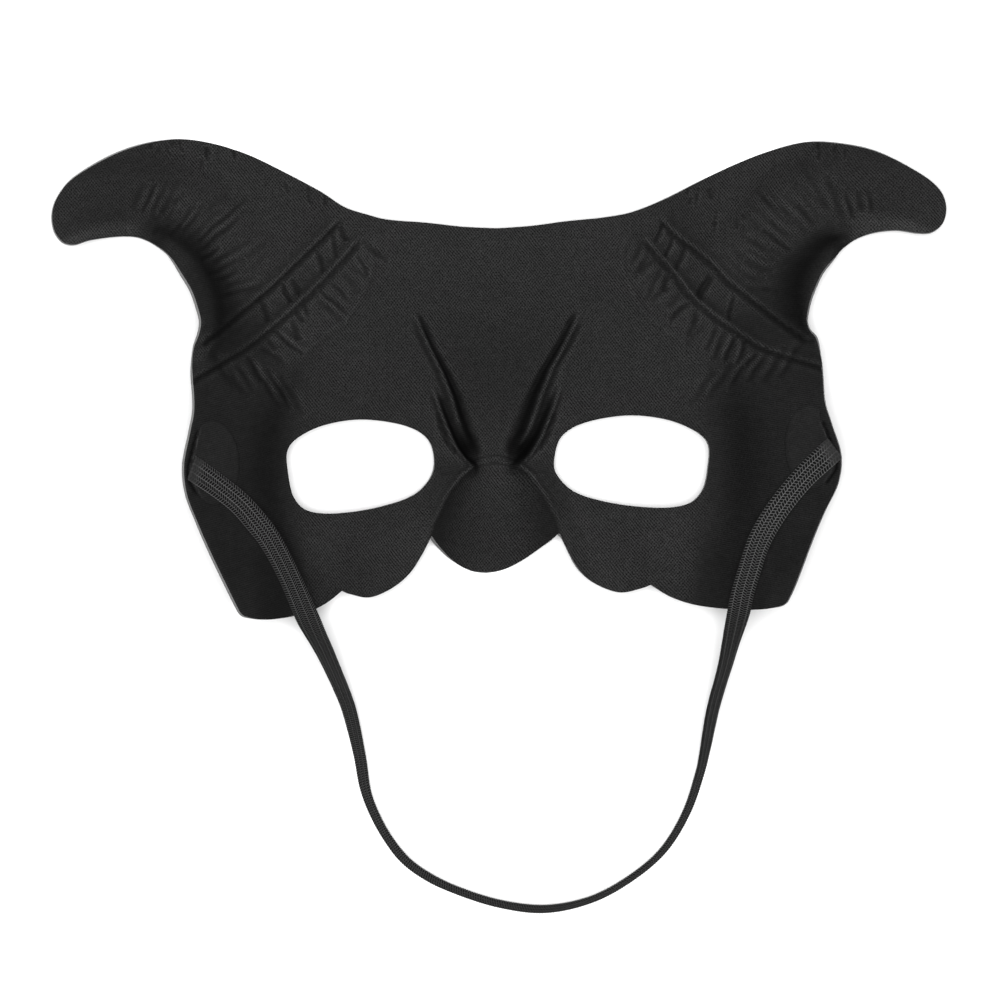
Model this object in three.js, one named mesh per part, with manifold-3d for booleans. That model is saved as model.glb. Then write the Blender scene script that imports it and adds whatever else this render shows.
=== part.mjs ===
// Demon half mask with horns and a flat elastic, lying on its front.
//
// The mask is one moulded shell of soft black foam, 2 mm thick, lined with knitted cloth. It is
// described in a face frame: x to the right when looking into its hollow side, y up the forehead,
// z towards the wearer, with zero between the eyes. It is then tipped so that the tip of the nose
// and the two horns carry it on the table. All sizes are in millimetres.
import * as THREE from "three";
import { mergeVertices } from "three/addons/utils/BufferGeometryUtils.js";
import Module from "manifold-3d";

const wasm = await Module();
wasm.setup();

// Shell
const WALL = 2.0;
const LIMIT = { right: 131, low: -46, high: 98 };
const COARSE_STEP = 5.0;
const FINE_STEP = 3.3;
const MIDDLE_HALF_WIDTH = 32;
const FINE_LOW = -32;
const FINE_HIGH = 46;

// Rest on the table: the tip about X, and the shift that centres the mask above the origin. It sinks by
// the last half millimetre into the table, which presses a small flat on the nose and on each horn.
const REST_TIP = THREE.MathUtils.degToRad(17.1);
const REST_SHIFT = new THREE.Vector3(-0.3, -29.6, 10.4);

// Face sheet
const BRIDGE_HEIGHT = 7;
const FOREHEAD_RISE = 15;
const SIDE_RISE = 9;
const EYE_OUTER = 61;
const CHEEK_DROP = 7;
const WING_SLOPE = 0.95;
const WING_ONSET = 60;
const WING_SHIFT_UP = 22;
const JAW_TURN = 14;
const TEMPLE_BAND = { height: 10, x: 69, half: 6.5, y: -2, reach: 26, bow: 0.0052 };

// Horns: a ring-shaped trough around a centre beside each temple. The right one is trimmed a little
// shorter, so it sags by a millimetre until it carries its share
const HORN = { x: 107, y: 43, inner: 20.5, floor: 13.4, tipRise: 24, lip: 4, wall: 14, wallWidth: 9.5 };
const RIGHT_HORN_SAG = 0.9;
const COLLAR = [[35, 75], [43, 65], [54, 54], [66, 45], [78, 38.5], [90, 34]];
const COLLAR_HEIGHT = 1.2;
const COLLAR_WIDTH = 4.2;

// Frown and nose: one valley down the middle, narrowest where the frown lines meet the nose
const CROSSING = 0.8;
const NOTCH_DROP = 21.2;
const FROWN_LINE = [[0.8, 6.4], [10, 9.9], [20.3, 12.6], [31.5, 17.2], [43, 22.8]];
const FROWN_DEPTH = 7;
const NOSE_DEPTH = 15;
const NOSE_HALF = { top: 6.4, spread: 12.3, power: 0.8 };

// Cut edge, from the middle of the forehead over each horn, down the side and back to the nose
const FOREHEAD_EDGE = [[0, 67.4], [10, 68], [20, 69.2], [31, 70.2]];
const HORN_EDGE_LEFT = [[37, 71.8], [43.5, 74], [50, 78.5], [60, 84.2], [70, 89.2], [80, 92.4], [90, 93.7],
  [100, 92.2], [110, 88.5], [120, 82.6], [124.4, 77.8], [126.4, 73], [126.2, 68], [124, 64.4], [120.5, 63.5],
  [115, 65.1], [105, 66.3], [99.5, 64.8], [94.3, 60.3], [91.1, 55], [88.3, 50], [86.8, 45], [86.1, 41],
  [86.7, 37.5], [88.2, 33.5]];
const HORN_EDGE_RIGHT = [[40, 71.9], [50, 75.8], [60, 80.7], [70, 85.3], [80, 89], [90, 91.3], [100, 90.6],
  [110, 88], [120, 82.5], [126, 77.4], [128.1, 72.5], [127.3, 67.4], [124, 64.4], [120, 64.2], [114, 65.3],
  [107, 64.4], [100, 60.6], [95, 57.2], [91.5, 54], [88.8, 49.5], [86.6, 44.5], [85.8, 40], [86.4, 36.5],
  [88.1, 33.5]];
const SIDE_EDGE = [[88.8, 28], [88.6, 17], [90, 10], [92, 1], [91.3, -7], [88.2, -15], [83.9, -25],
  [79.4, -35], [77, -40]];
const CHEEK_EDGE = [[75, -41.4], [68, -42.5], [58, -41.7], [50.5, -39.2], [44.8, -35.4]];
const LOBE_EDGE = [[42.5, -36.4], [36.5, -37.6], [30, -35.2], [25, -31.2], [21.3, -25.5], [18.6, -20]];
const NOSE_EDGE = [[15.5, -23.2], [10.5, -27.6], [5, -30.6], [0, -31.3]];
const EYE_EDGE = [[17.4, 1.5], [19.4, 7.8], [26, 11.7], [38, 13.6], [49, 12.3], [57, 8.9], [60.7, 4.8],
  [60.5, -2], [59, -8.3], [55, -12.2], [47, -13.2], [35, -11.9], [24, -8.6], [18.5, -3.5]];
const SPLINE_PARTS = 2;

// Strap patches: round cloth discs on the side wings, cut straight where the strap comes out
const PATCH = { x: 82.6, y: 2.6, halfWidth: 8.1, halfHeight: 11.7, cutOff: 5.8, thick: 0.7, step: 3.5 };
const CONTACT_GAP = 0.3;

// Elastic: a flat braid 6.5 mm wide. Its route runs from the left patch over the lower edge, down to the
// table and round to the right patch: x, y, z, and the lean of its upper face away from the loop's middle
const STRAP = { width: 6.5, thick: 1.0, edge: 0.3, steps: 72 };
const STRAP_ROUTE = [
  [-90.3, -12.2, 66.2, -40], [-83.5, -18.4, 61.7, -37], [-76.6, -25.3, 57.6, -28],
  [-72.0, -31.3, 54.9, -18], [-68.4, -36.4, 53.8, -20], [-65.0, -42.7, 53.1, -23],
  [-61.6, -50.1, 52.0, -22], [-57.5, -60.3, 49.5, -6], [-54.6, -67.4, 45.6, 20], [-51.0, -76.3, 37.0, 34],
  [-47.2, -86.7, 25.4, 42], [-43.8, -96.4, 15.0, 46], [-40.9, -105.5, 8.4, 52], [-37.3, -121.4, 3.2, 61],
  [-35.5, -131.9, 3.3, 65], [-32.8, -139.4, 3.2, 64], [-28.6, -147.4, 3.2, 62], [-23.1, -154.7, 3.1, 57],
  [-15.9, -160.3, 3.0, 54], [-7.7, -164.5, 3.1, 54], [5.6, -169.3, 3.0, 52], [19.3, -171.3, 2.9, 49],
  [33.2, -168.5, 3.0, 52], [45.0, -161.9, 3.0, 53], [54.3, -153.4, 3.1, 54], [61.0, -141.5, 3.1, 55],
  [64.8, -128.9, 3.0, 54], [65.5, -121.3, 6.2, 51], [65.7, -113.5, 10.4, 46], [65.6, -104.8, 16.9, 41],
  [65.5, -95.6, 25.4, 36], [65.1, -83.8, 38.5, 32], [64.5, -71.2, 52.0, 22], [64.5, -58.9, 62.3, -2],
  [65.3, -52.0, 64.1, -16], [67.0, -45.3, 64.2, -20], [69.6, -37.4, 63.2, -22], [74.5, -29.1, 61.7, -28],
  [81.9, -19.1, 62.1, -38], [89.7, -9.8, 65.4, -43],
];

function smooth(from, to, value) {
  const share = THREE.MathUtils.clamp((value - from) / (to - from), 0, 1);
  return share * share * (3 - 2 * share);
}

function softRamp(value, blend) {
  return (value + Math.hypot(value, blend)) / 2;
}

function hill(value, reach) {
  return Math.exp(-((value / reach) ** 2));
}

function lookUp(table, key) {
  if (key <= table[0][0]) return table[0][1];
  for (let i = 1; i < table.length; i++) {
    const [k0, v0] = table[i - 1];
    const [k1, v1] = table[i];
    if (key <= k1) return v0 + ((v1 - v0) * (key - k0)) / (k1 - k0);
  }
  return table[table.length - 1][1];
}

function distanceToLine(x, y, line) {
  let best = Infinity;
  for (let i = 1; i < line.length; i++) {
    const [ax, ay] = line[i - 1];
    const dx = line[i][0] - ax;
    const dy = line[i][1] - ay;
    const along = THREE.MathUtils.clamp(((x - ax) * dx + (y - ay) * dy) / (dx * dx + dy * dy), 0, 1);
    best = Math.min(best, Math.hypot(x - ax - along * dx, y - ay - along * dy));
  }
  return best;
}

// The cheeks, the brow and the forehead, before the wings turn back
function faceSheet(side, y) {
  const forehead = FOREHEAD_RISE * smooth(4, 64, y);
  const flatter = 1 - 0.9 * smooth(15, 50, y);
  const sides = SIDE_RISE * (Math.min(side, EYE_OUTER) / EYE_OUTER) ** 2 * flatter;
  const cheek = CHEEK_DROP * smooth(-12, -42, y) * (1 - smooth(35, 62, side));
  return BRIDGE_HEIGHT + forehead + sides - cheek;
}

// Where the trough of the horn takes over from the face, 0 to 1
function hornShare(side, y) {
  return smooth(38, 68, side) * smooth(26, 58, y);
}

// Height of the trough: level along the shaft, rising to the tip, with a low lip and a steep inner wall
function hornTrough(side, y) {
  const radius = Math.hypot(side - HORN.x, y - HORN.y);
  const turn = THREE.MathUtils.radToDeg(Math.atan2(side - HORN.x, y - HORN.y));
  const floor = HORN.floor + HORN.tipRise * smooth(-45, 55, turn);
  const lip = HORN.lip * smooth(40, 52, radius) * smooth(-75, -40, turn);
  const wallHeight = HORN.wall * smooth(-135, -85, turn) * (1 - smooth(-50, -5, turn));
  const wall = wallHeight * (1 - smooth(HORN.inner, HORN.inner + HORN.wallWidth, radius));
  return { floor: floor + lip, wall, turn };
}

// The side wing that wraps the temple and the cheek
function wing(side, y, turn) {
  const onset = WING_ONSET + WING_SHIFT_UP * smooth(18, 66, y) - 6 * smooth(-15, -45, y);
  const behindHorn = smooth(-55, -20, turn) * smooth(45, 60, y);
  const slope = WING_SLOPE * softRamp(side - onset, 7) * (1 - behindHorn);
  const jaw = JAW_TURN * smooth(-12, -42, y) * smooth(56, 74, side);
  const bandX = TEMPLE_BAND.x - TEMPLE_BAND.bow * (y - TEMPLE_BAND.y) ** 2;
  const band = TEMPLE_BAND.height * hill(y - TEMPLE_BAND.y, TEMPLE_BAND.reach);
  return slope + jaw + band * smooth(bandX - TEMPLE_BAND.half, bandX + TEMPLE_BAND.half, side);
}

// Half the width of the sunken strip at a height, and where its side starts and stops falling
function valleySide(y) {
  const below = THREE.MathUtils.clamp((CROSSING - y) / NOTCH_DROP, 0, 3);
  const noseHalf = NOSE_HALF.top + NOSE_HALF.spread * below ** NOSE_HALF.power;
  const half = y > CROSSING ? lookUp(FROWN_LINE, y) : noseHalf;
  return { half, foot: half - 1.4 - 2.2 * smooth(40, 5, y), crest: half + 0.3 };
}

// The sunken strip between the frown lines, opening below them into the round hollow of the nose
function middleValley(side, y) {
  const { half, foot, crest } = valleySide(y);
  const strip = 1 - smooth(foot, crest, side);
  const bowl = Math.max(1 - (side / half) ** 2, 0) ** 0.85;
  const nose = 1 - smooth(-4, 2.5, y);
  const depth = FROWN_DEPTH * smooth(46, 2, y) + NOSE_DEPTH * smooth(6, -34, y);
  return depth * (strip * (1 - nose) + bowl * nose);
}

// Height of the lined inner face above the face plane
function innerHeight(x, y) {
  const side = Math.abs(x);
  const share = hornShare(side, y);
  const horn = hornTrough(side, y);
  const sag = x > 0 ? RIGHT_HORN_SAG : 0;
  const face = faceSheet(side, y) * (1 - share) + (horn.floor - sag) * share;
  const collar = COLLAR_HEIGHT * hill(distanceToLine(side, y, COLLAR), COLLAR_WIDTH);
  return face + wing(side, y, horn.turn) + horn.wall - middleValley(side, y) - collar;
}

// Evenly spaced lines no further apart than the step
function evenLines(from, to, step) {
  const count = Math.ceil((to - from) / step);
  return Array.from({ length: count + 1 }, (_, i) => from + ((to - from) * i) / count);
}

// Rows of the shell's grid, closer together where the relief is finer
function shellRows() {
  const below = evenLines(LIMIT.low, FINE_LOW, COARSE_STEP);
  const fine = evenLines(FINE_LOW, FINE_HIGH, FINE_STEP);
  const above = evenLines(FINE_HIGH, LIMIT.high, COARSE_STEP);
  return [...below.slice(0, -1), ...fine, ...above.slice(1)];
}

// A middle column bends with the side of the valley: share 1 is its foot, 2 its crest and 3 the last
// line before the straight columns
function middleColumn(sign, share) {
  return (y) => {
    const { foot, crest } = valleySide(y);
    const stops = [0, foot, crest, MIDDLE_HALF_WIDTH];
    const k = Math.min(Math.floor(share), 2);
    return sign * THREE.MathUtils.lerp(stops[k], stops[k + 1], share - k);
  };
}

// Columns of the shell's grid from left to right, each a function from y to x
function shellColumns() {
  const inside = evenLines(0, 1, 0.26);
  const shares = [...inside, ...evenLines(1, 2, 0.34).slice(1), ...evenLines(2, 3, 0.34).slice(1)];
  const straight = evenLines(MIDDLE_HALF_WIDTH, LIMIT.right, COARSE_STEP).slice(1);
  const half = (sign) => [
    ...shares.map((share) => middleColumn(sign, share)),
    ...straight.map((x) => () => sign * x),
  ];
  return [...half(-1).reverse(), ...half(1).slice(1)];
}

// A closed slab between two height functions over a grid of columns and rows
function slabBetween(top, bottom, columns, ys) {
  const positions = [];
  for (const height of [top, bottom]) {
    for (const y of ys) {
      for (const column of columns) {
        const x = column(y);
        positions.push(x, y, height(x, y));
      }
    }
  }
  const layer = columns.length * ys.length;
  const at = (i, j, k) => k * layer + j * columns.length + i;
  const index = [];
  const quad = (a, b, c, d) => index.push(a, b, c, a, c, d);
  for (let j = 0; j + 1 < ys.length; j++) {
    for (let i = 0; i + 1 < columns.length; i++) {
      quad(at(i, j, 0), at(i + 1, j, 0), at(i + 1, j + 1, 0), at(i, j + 1, 0));
      quad(at(i, j, 1), at(i, j + 1, 1), at(i + 1, j + 1, 1), at(i + 1, j, 1));
    }
  }
  const lastX = columns.length - 1;
  const lastY = ys.length - 1;
  for (let i = 0; i < lastX; i++) {
    quad(at(i, 0, 1), at(i + 1, 0, 1), at(i + 1, 0, 0), at(i, 0, 0));
    quad(at(i, lastY, 0), at(i + 1, lastY, 0), at(i + 1, lastY, 1), at(i, lastY, 1));
  }
  for (let j = 0; j < lastY; j++) {
    quad(at(0, j, 0), at(0, j + 1, 0), at(0, j + 1, 1), at(0, j, 1));
    quad(at(lastX, j, 1), at(lastX, j + 1, 1), at(lastX, j + 1, 0), at(lastX, j, 0));
  }
  const geometry = new THREE.BufferGeometry();
  geometry.setAttribute("position", new THREE.Float32BufferAttribute(positions, 3));
  geometry.setIndex(index);
  return toSolid(geometry);
}

function toSolid(geometry) {
  const bare = new THREE.BufferGeometry();
  bare.setAttribute("position", geometry.getAttribute("position"));
  bare.setIndex(geometry.getIndex());
  const merged = mergeVertices(bare, 1e-4);
  return new wasm.Manifold(new wasm.Mesh({
    numProp: 3,
    vertProperties: Float32Array.from(merged.getAttribute("position").array),
    triVerts: Uint32Array.from(merged.getIndex().array),
  }));
}

function toGeometry(solid) {
  const mesh = solid.getMesh();
  const geometry = new THREE.BufferGeometry();
  geometry.setAttribute("position", new THREE.Float32BufferAttribute(mesh.vertProperties, 3));
  geometry.setIndex(new THREE.Uint32BufferAttribute(mesh.triVerts, 1));
  return geometry;
}

function prism(shape, low, high) {
  const geometry = new THREE.ExtrudeGeometry(shape, { depth: high - low, bevelEnabled: false });
  geometry.translate(0, 0, low);
  return toSolid(geometry);
}

// Points along a spline through the pairs, without its last one
function splinePoints(pairs, sign) {
  const points = pairs.map(([side, y]) => new THREE.Vector2(sign * side, y));
  return new THREE.SplineCurve(points).getPoints((pairs.length - 1) * SPLINE_PARTS).slice(0, -1);
}

// Each stretch runs from the last point of the one before it, so the cut line keeps its corners
function cutLine(stretches) {
  return stretches.map((stretch, i) => (i === 0 ? stretch : [stretches[i - 1].at(-1), ...stretch]));
}

// The cut line of the whole mask, with both eye holes
function maskOutline() {
  const halves = [HORN_EDGE_RIGHT, HORN_EDGE_LEFT].map((horn) =>
    cutLine([[...FOREHEAD_EDGE, ...horn, ...SIDE_EDGE], CHEEK_EDGE, LOBE_EDGE, NOSE_EDGE]));
  const right = halves[0].flatMap((stretch) => splinePoints(stretch, 1));
  const left = halves[1].reverse().flatMap((stretch) => splinePoints([...stretch].reverse(), -1));
  const shape = new THREE.Shape([...right, ...left].reverse());
  for (const sign of [1, -1]) {
    shape.holes.push(new THREE.Path(splinePoints([...EYE_EDGE, EYE_EDGE[0]], sign)));
  }
  return shape;
}

// A disc, squeezed to its slanted width and cut straight on its outer side
function patchOutline(sign) {
  const start = Math.acos(PATCH.cutOff / PATCH.halfWidth);
  const steps = 16;
  const points = [];
  for (let i = 0; i <= steps; i++) {
    const turn = start + ((2 * Math.PI - 2 * start) * i) / steps;
    const x = PATCH.x + PATCH.halfWidth * Math.cos(turn);
    points.push(new THREE.Vector2(sign * x, PATCH.y + PATCH.halfHeight * Math.sin(turn)));
  }
  return new THREE.Shape(points);
}

// A height function lifted square to the inner face by a distance
function liftedFace(distance) {
  const h = 0.5;
  return (x, y) => {
    const slopeX = (innerHeight(x + h, y) - innerHeight(x - h, y)) / (2 * h);
    const slopeY = (innerHeight(x, y + h) - innerHeight(x, y - h)) / (2 * h);
    return innerHeight(x, y) + distance * Math.hypot(1, slopeX, slopeY);
  };
}

function maskShell(placing) {
  const slab = slabBetween(innerHeight, liftedFace(-WALL), shellColumns(), shellRows());
  const belowTable = new THREE.BoxGeometry(400, 400, 40).translate(0, 0, -20);
  belowTable.applyMatrix4(placing.matrixWorld.clone().invert());
  return slab.intersect(prism(maskOutline(), -80, 150)).subtract(toSolid(belowTable));
}

function strapPatch(sign) {
  const reach = PATCH.halfWidth + PATCH.step;
  const rise = PATCH.halfHeight + PATCH.step;
  const middle = sign * PATCH.x;
  const columns = evenLines(middle - reach, middle + reach, PATCH.step).map((x) => () => x);
  const rows = evenLines(PATCH.y - rise, PATCH.y + rise, PATCH.step);
  const slab = slabBetween(liftedFace(CONTACT_GAP + PATCH.thick), liftedFace(CONTACT_GAP), columns, rows);
  return slab.intersect(prism(patchOutline(sign), -80, 150));
}

// The section of the braid, with its long edges broken
function strapSection() {
  const w = STRAP.width / 2;
  const t = STRAP.thick / 2;
  const e = STRAP.edge;
  const right = [[w - e, -t], [w, e - t], [w, t - e], [w - e, t]];
  const corners = [...right, ...right.map(([x, y]) => [-x, -y])];
  return new THREE.Shape(corners.map(([x, y]) => new THREE.Vector2(x, y)));
}

// A straight bar of the section, bent along the route: each station turns its section square to the
// route and leans it by the angle given there
function elasticStrap() {
  const cut = { depth: 1, steps: STRAP.steps, bevelEnabled: false };
  const bar = new THREE.ExtrudeGeometry(strapSection(), cut);
  const route = new THREE.CatmullRomCurve3(STRAP_ROUTE.map(([x, y, z]) => new THREE.Vector3(x, y, z)));
  route.arcLengthDivisions = 800;
  const leans = STRAP_ROUTE.map(([, , , lean], i) => [i, lean]);
  const up = new THREE.Vector3(0, 0, 1);
  const place = bar.getAttribute("position");
  const point = new THREE.Vector3();
  for (let i = 0; i < place.count; i++) {
    const share = place.getZ(i);
    const spot = route.getPointAt(share);
    const along = route.getTangentAt(share);
    const outward = along.clone().cross(up).normalize();
    const facing = outward.clone().cross(along).normalize();
    const stop = route.getUtoTmapping(share) * (STRAP_ROUTE.length - 1);
    const lean = THREE.MathUtils.degToRad(lookUp(leans, stop));
    const normal = outward.clone().multiplyScalar(Math.sin(lean)).addScaledVector(facing, Math.cos(lean));
    const across = normal.clone().cross(along);
    point.copy(spot).addScaledVector(across, place.getX(i)).addScaledVector(normal, place.getY(i));
    place.setXYZ(i, point.x, point.y, point.z);
  }
  return bar;
}

const part = new THREE.Group();
part.name = "demon_half_mask";
const lying = new THREE.Group();
lying.rotation.x = -REST_TIP;
lying.position.copy(REST_SHIFT);
part.add(lying);
part.updateMatrixWorld(true);

const lining = new THREE.MeshStandardMaterial({ color: 0x2c2c2c, roughness: 0.92, metalness: 0 });
const patchCloth = new THREE.MeshStandardMaterial({ color: 0x252525, roughness: 0.95, metalness: 0 });
const braid = new THREE.MeshStandardMaterial({ color: 0x333333, roughness: 0.8, metalness: 0 });

function addMesh(parent, name, geometry, material) {
  const mesh = new THREE.Mesh(geometry, material);
  mesh.name = name;
  parent.add(mesh);
}

addMesh(lying, "mask_shell", toGeometry(maskShell(lying)), lining);
addMesh(lying, "strap_patch_left", toGeometry(strapPatch(-1)), patchCloth);
addMesh(lying, "strap_patch_right", toGeometry(strapPatch(1)), patchCloth);
addMesh(part, "elastic_strap", elasticStrap(), braid);

export default part;
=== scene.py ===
# %% [markdown]
# # Demon half mask, lying hollow side up
#
# The real object is a party mask. A sheet of soft black foam, lined with thin knitted cloth, was
# pressed hot between two moulds and cut out round its edge. A flat braided elastic ends on two round
# cloth patches on the side wings. The lesson builds all of it from formulas: the pressed face is a
# height above a plane, its edge is a spline, and the elastic is a ribbon carried along a path.

# %% Load the frame that everything is built around
import math

import bpy
import numpy as np
from mathutils import Matrix, Vector
from mathutils.geometry import delaunay_2d_cdt


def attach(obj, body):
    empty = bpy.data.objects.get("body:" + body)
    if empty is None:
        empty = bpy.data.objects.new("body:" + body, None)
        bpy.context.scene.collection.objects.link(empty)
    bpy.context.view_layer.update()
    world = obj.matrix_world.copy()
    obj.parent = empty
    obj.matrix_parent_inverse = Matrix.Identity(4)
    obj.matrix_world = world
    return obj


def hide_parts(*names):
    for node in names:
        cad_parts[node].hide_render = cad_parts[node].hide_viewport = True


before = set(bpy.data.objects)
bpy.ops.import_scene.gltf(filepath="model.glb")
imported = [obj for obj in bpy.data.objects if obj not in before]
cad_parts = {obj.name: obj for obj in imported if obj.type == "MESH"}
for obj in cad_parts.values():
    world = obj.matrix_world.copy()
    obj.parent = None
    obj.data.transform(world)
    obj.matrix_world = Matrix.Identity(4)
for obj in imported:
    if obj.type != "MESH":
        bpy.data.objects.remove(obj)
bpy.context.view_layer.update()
MM = 0.001
print("solids loaded:", sorted(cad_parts))

# %% [markdown]
# ## Where things lie
#
# A mask is easiest to describe as a wearer holds it: x across, y up the forehead, z towards the face,
# with zero between the eyes. On the table it tips forward until the nose and both horns touch. One
# function turns face coordinates, in millimetres, into metres on the table, so no later step has to
# think about the tip again.

# %% Face frame to table frame
REST_TIP = math.radians(17.1)
REST_SHIFT = np.array([-0.3, -29.6, 10.4])


def turned_to_table(directions):
    """Directions in the face frame, turned about x by the rest tip: y loses height, z gains reach."""
    d = np.asarray(directions, float)
    c, s = math.cos(REST_TIP), math.sin(REST_TIP)
    return np.stack([d[..., 0], c * d[..., 1] + s * d[..., 2], c * d[..., 2] - s * d[..., 1]], -1)


def on_table(points):
    """Points of the face frame in mm, as points of the table frame in metres."""
    return (turned_to_table(points) + REST_SHIFT) * MM


print("a point between the eyes lies at", on_table([0, 0, 0]).round(4))

# %% [markdown]
# ## Camera
#
# The mask was seen from straight above its hollow side, a little from the left, with a long lens. The
# camera is placed by those angles in the face frame, so it stays right if the rest tip changes.

# %% Camera at the picture's viewing angle
VIEW_YAW = math.radians(6.6)
VIEW_ROLL = math.radians(1.0)
VIEW_DISTANCE = 1400.0
VIEW_WIDTH = 290.0
VIEW_TARGET = np.array([2.15, -10.15, 0.0])
SENSOR = 36.0


def make_camera():
    """A perspective camera whose width at the target is VIEW_WIDTH: lens = sensor * distance / width."""
    back = np.array([-math.sin(VIEW_YAW), 0, math.cos(VIEW_YAW)])
    flat_right = np.array([math.cos(VIEW_YAW), 0, math.sin(VIEW_YAW)])
    up_face = np.array([0, 1.0, 0])
    right = math.cos(VIEW_ROLL) * flat_right - math.sin(VIEW_ROLL) * up_face
    up = math.sin(VIEW_ROLL) * flat_right + math.cos(VIEW_ROLL) * up_face
    data = bpy.data.cameras.new("camera")
    data.sensor_width = SENSOR
    data.lens = SENSOR * VIEW_DISTANCE / VIEW_WIDTH
    data.clip_end = 20
    camera = bpy.data.objects.new("camera", data)
    bpy.context.scene.collection.objects.link(camera)
    matrix = Matrix.Identity(4)
    for column, axis in enumerate((right, up, back)):
        matrix.col[column] = [*turned_to_table(axis), 0]
    matrix.col[3] = [*on_table(VIEW_TARGET + VIEW_DISTANCE * back), 1]
    camera.matrix_world = matrix
    bpy.context.scene.camera = camera
    return camera


camera = make_camera()
print("lens", round(camera.data.lens, 1), "mm")

# %% [markdown]
# ## Route of the elastic
#
# The elastic is a ribbon of fixed length. It leaves the left patch, crosses the lower edge of the mask,
# comes down to the table and swings round to the right patch. Its route is a list of points in metres
# with a lean: the angle by which its upper face turns away from the middle of the loop. A spline through
# the points makes the path, and steps of equal length along it keep the braid's stitches even.

# %% Points of the route
STRAP_WIDTH = 0.0065
STRAP_THICK = 0.0010
STRAP_ROUTE = [
    (-0.0903, -0.0122, 0.0662, -40), (-0.0835, -0.0184, 0.0617, -37), (-0.0766, -0.0253, 0.0576, -28),
    (-0.0720, -0.0313, 0.0549, -18), (-0.0684, -0.0364, 0.0538, -20), (-0.0650, -0.0427, 0.0531, -23),
    (-0.0616, -0.0501, 0.0520, -22), (-0.0575, -0.0603, 0.0495, -6), (-0.0546, -0.0674, 0.0456, 20),
    (-0.0510, -0.0763, 0.0370, 34), (-0.0472, -0.0867, 0.0254, 42), (-0.0438, -0.0964, 0.0150, 46),
    (-0.0409, -0.1055, 0.0084, 52), (-0.0373, -0.1214, 0.0032, 61), (-0.0355, -0.1319, 0.0033, 65),
    (-0.0328, -0.1394, 0.0032, 64), (-0.0286, -0.1474, 0.0032, 62), (-0.0231, -0.1547, 0.0031, 57),
    (-0.0159, -0.1603, 0.0030, 54), (-0.0077, -0.1645, 0.0031, 54), (0.0056, -0.1693, 0.0030, 52),
    (0.0193, -0.1713, 0.0029, 49), (0.0332, -0.1685, 0.0030, 52), (0.0450, -0.1619, 0.0030, 53),
    (0.0543, -0.1534, 0.0031, 54), (0.0610, -0.1415, 0.0031, 55), (0.0648, -0.1289, 0.0030, 54),
    (0.0655, -0.1213, 0.0062, 51), (0.0657, -0.1135, 0.0104, 46), (0.0656, -0.1048, 0.0169, 41),
    (0.0655, -0.0956, 0.0254, 36), (0.0651, -0.0838, 0.0385, 32), (0.0645, -0.0712, 0.0520, 22),
    (0.0645, -0.0589, 0.0623, -2), (0.0653, -0.0520, 0.0641, -16), (0.0670, -0.0453, 0.0642, -20),
    (0.0696, -0.0374, 0.0632, -22), (0.0745, -0.0291, 0.0617, -28), (0.0819, -0.0191, 0.0621, -38),
    (0.0897, -0.0098, 0.0654, -43),
]


def join_by_cubics(p, leave, arrive, parts):
    """Cubics from station to station, each with the given slopes where it leaves one and arrives at the
    next. The first and the last row of p only steer the slopes and are left out of the curve."""
    b, c = p[1:-2], p[2:-1]
    t = (np.arange(parts) / parts)[None, :, None]
    cubic = (2 * b - 2 * c + leave + arrive)[:, None] * t**3
    square = (-3 * b + 3 * c - 2 * leave - arrive)[:, None] * t**2
    curve = cubic + square + leave[:, None] * t + b[:, None]
    return np.vstack([curve.reshape(-1, p.shape[1]), p[-2]])


def centripetal_spline(stations, parts):
    """A Catmull-Rom spline whose spans weigh by the square root of their length, so it never loops."""
    p = np.asarray(stations, float)
    p = np.vstack([2 * p[0] - p[1], p, 2 * p[-1] - p[-2]])
    span = np.sqrt(np.linalg.norm(np.diff(p[:, :3], axis=0), axis=1))[:, None]
    a, b, c, d = p[:-3], p[1:-2], p[2:-1], p[3:]
    before, here, after = span[:-2], span[1:-1], span[2:]
    leave = ((b - a) / before - (c - a) / (before + here) + (c - b) / here) * here
    arrive = ((c - b) / here - (d - b) / (here + after) + (d - c) / after) * here
    return join_by_cubics(p, leave, arrive, parts)


def at_even_steps(curve, count):
    """The curve's stations at equal distances along it, and those distances."""
    step = np.linalg.norm(np.diff(curve[:, :3], axis=0), axis=1)
    travelled = np.concatenate([[0], np.cumsum(step)])
    wanted = np.linspace(0, travelled[-1], count)
    return np.stack([np.interp(wanted, travelled, column) for column in curve.T], -1), wanted


ROUTE_PARTS = 40
ROUTE_STATIONS = 400
strap_curve = centripetal_spline(STRAP_ROUTE, ROUTE_PARTS)
strap_path, strap_distance = at_even_steps(strap_curve, ROUTE_STATIONS)
STRAP_LENGTH = float(strap_distance[-1])
print("the elastic is", round(STRAP_LENGTH, 4), "m long")

# %% [markdown]
# ## The pressed face as a height
#
# Heat pressing stretches one flat sheet over a mould, so no place is covered twice: the hollow side is
# one height z(x, y) over the face plane. That makes it a sum of plain parts, such as a bowed sheet, a
# steep wing past each temple, a ring-shaped trough for each horn and a valley down the middle. A
# sculpted mesh could look the same, but a sum of named parts can be measured and changed.

# %% Building blocks for heights
STEP_STEEPNESS = 3.2


def smooth(low, high, value):
    """0 below low, 1 above high, and the cubic 3t^2 - 2t^3 between them."""
    t = np.clip((value - low) / (high - low), 0, 1)
    return t * t * (3 - 2 * t)


def within(value, rise, fall):
    """1 between two ranges: it climbs smoothly over the first and drops smoothly over the second."""
    return smooth(*rise, value) * (1 - smooth(*fall, value))


def soft_ramp(value, blend):
    """(t + sqrt(t^2 + blend^2)) / 2: nearly 0 far below zero, nearly t far above, with a round bend."""
    return 0.5 * (value + np.hypot(value, blend))


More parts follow.
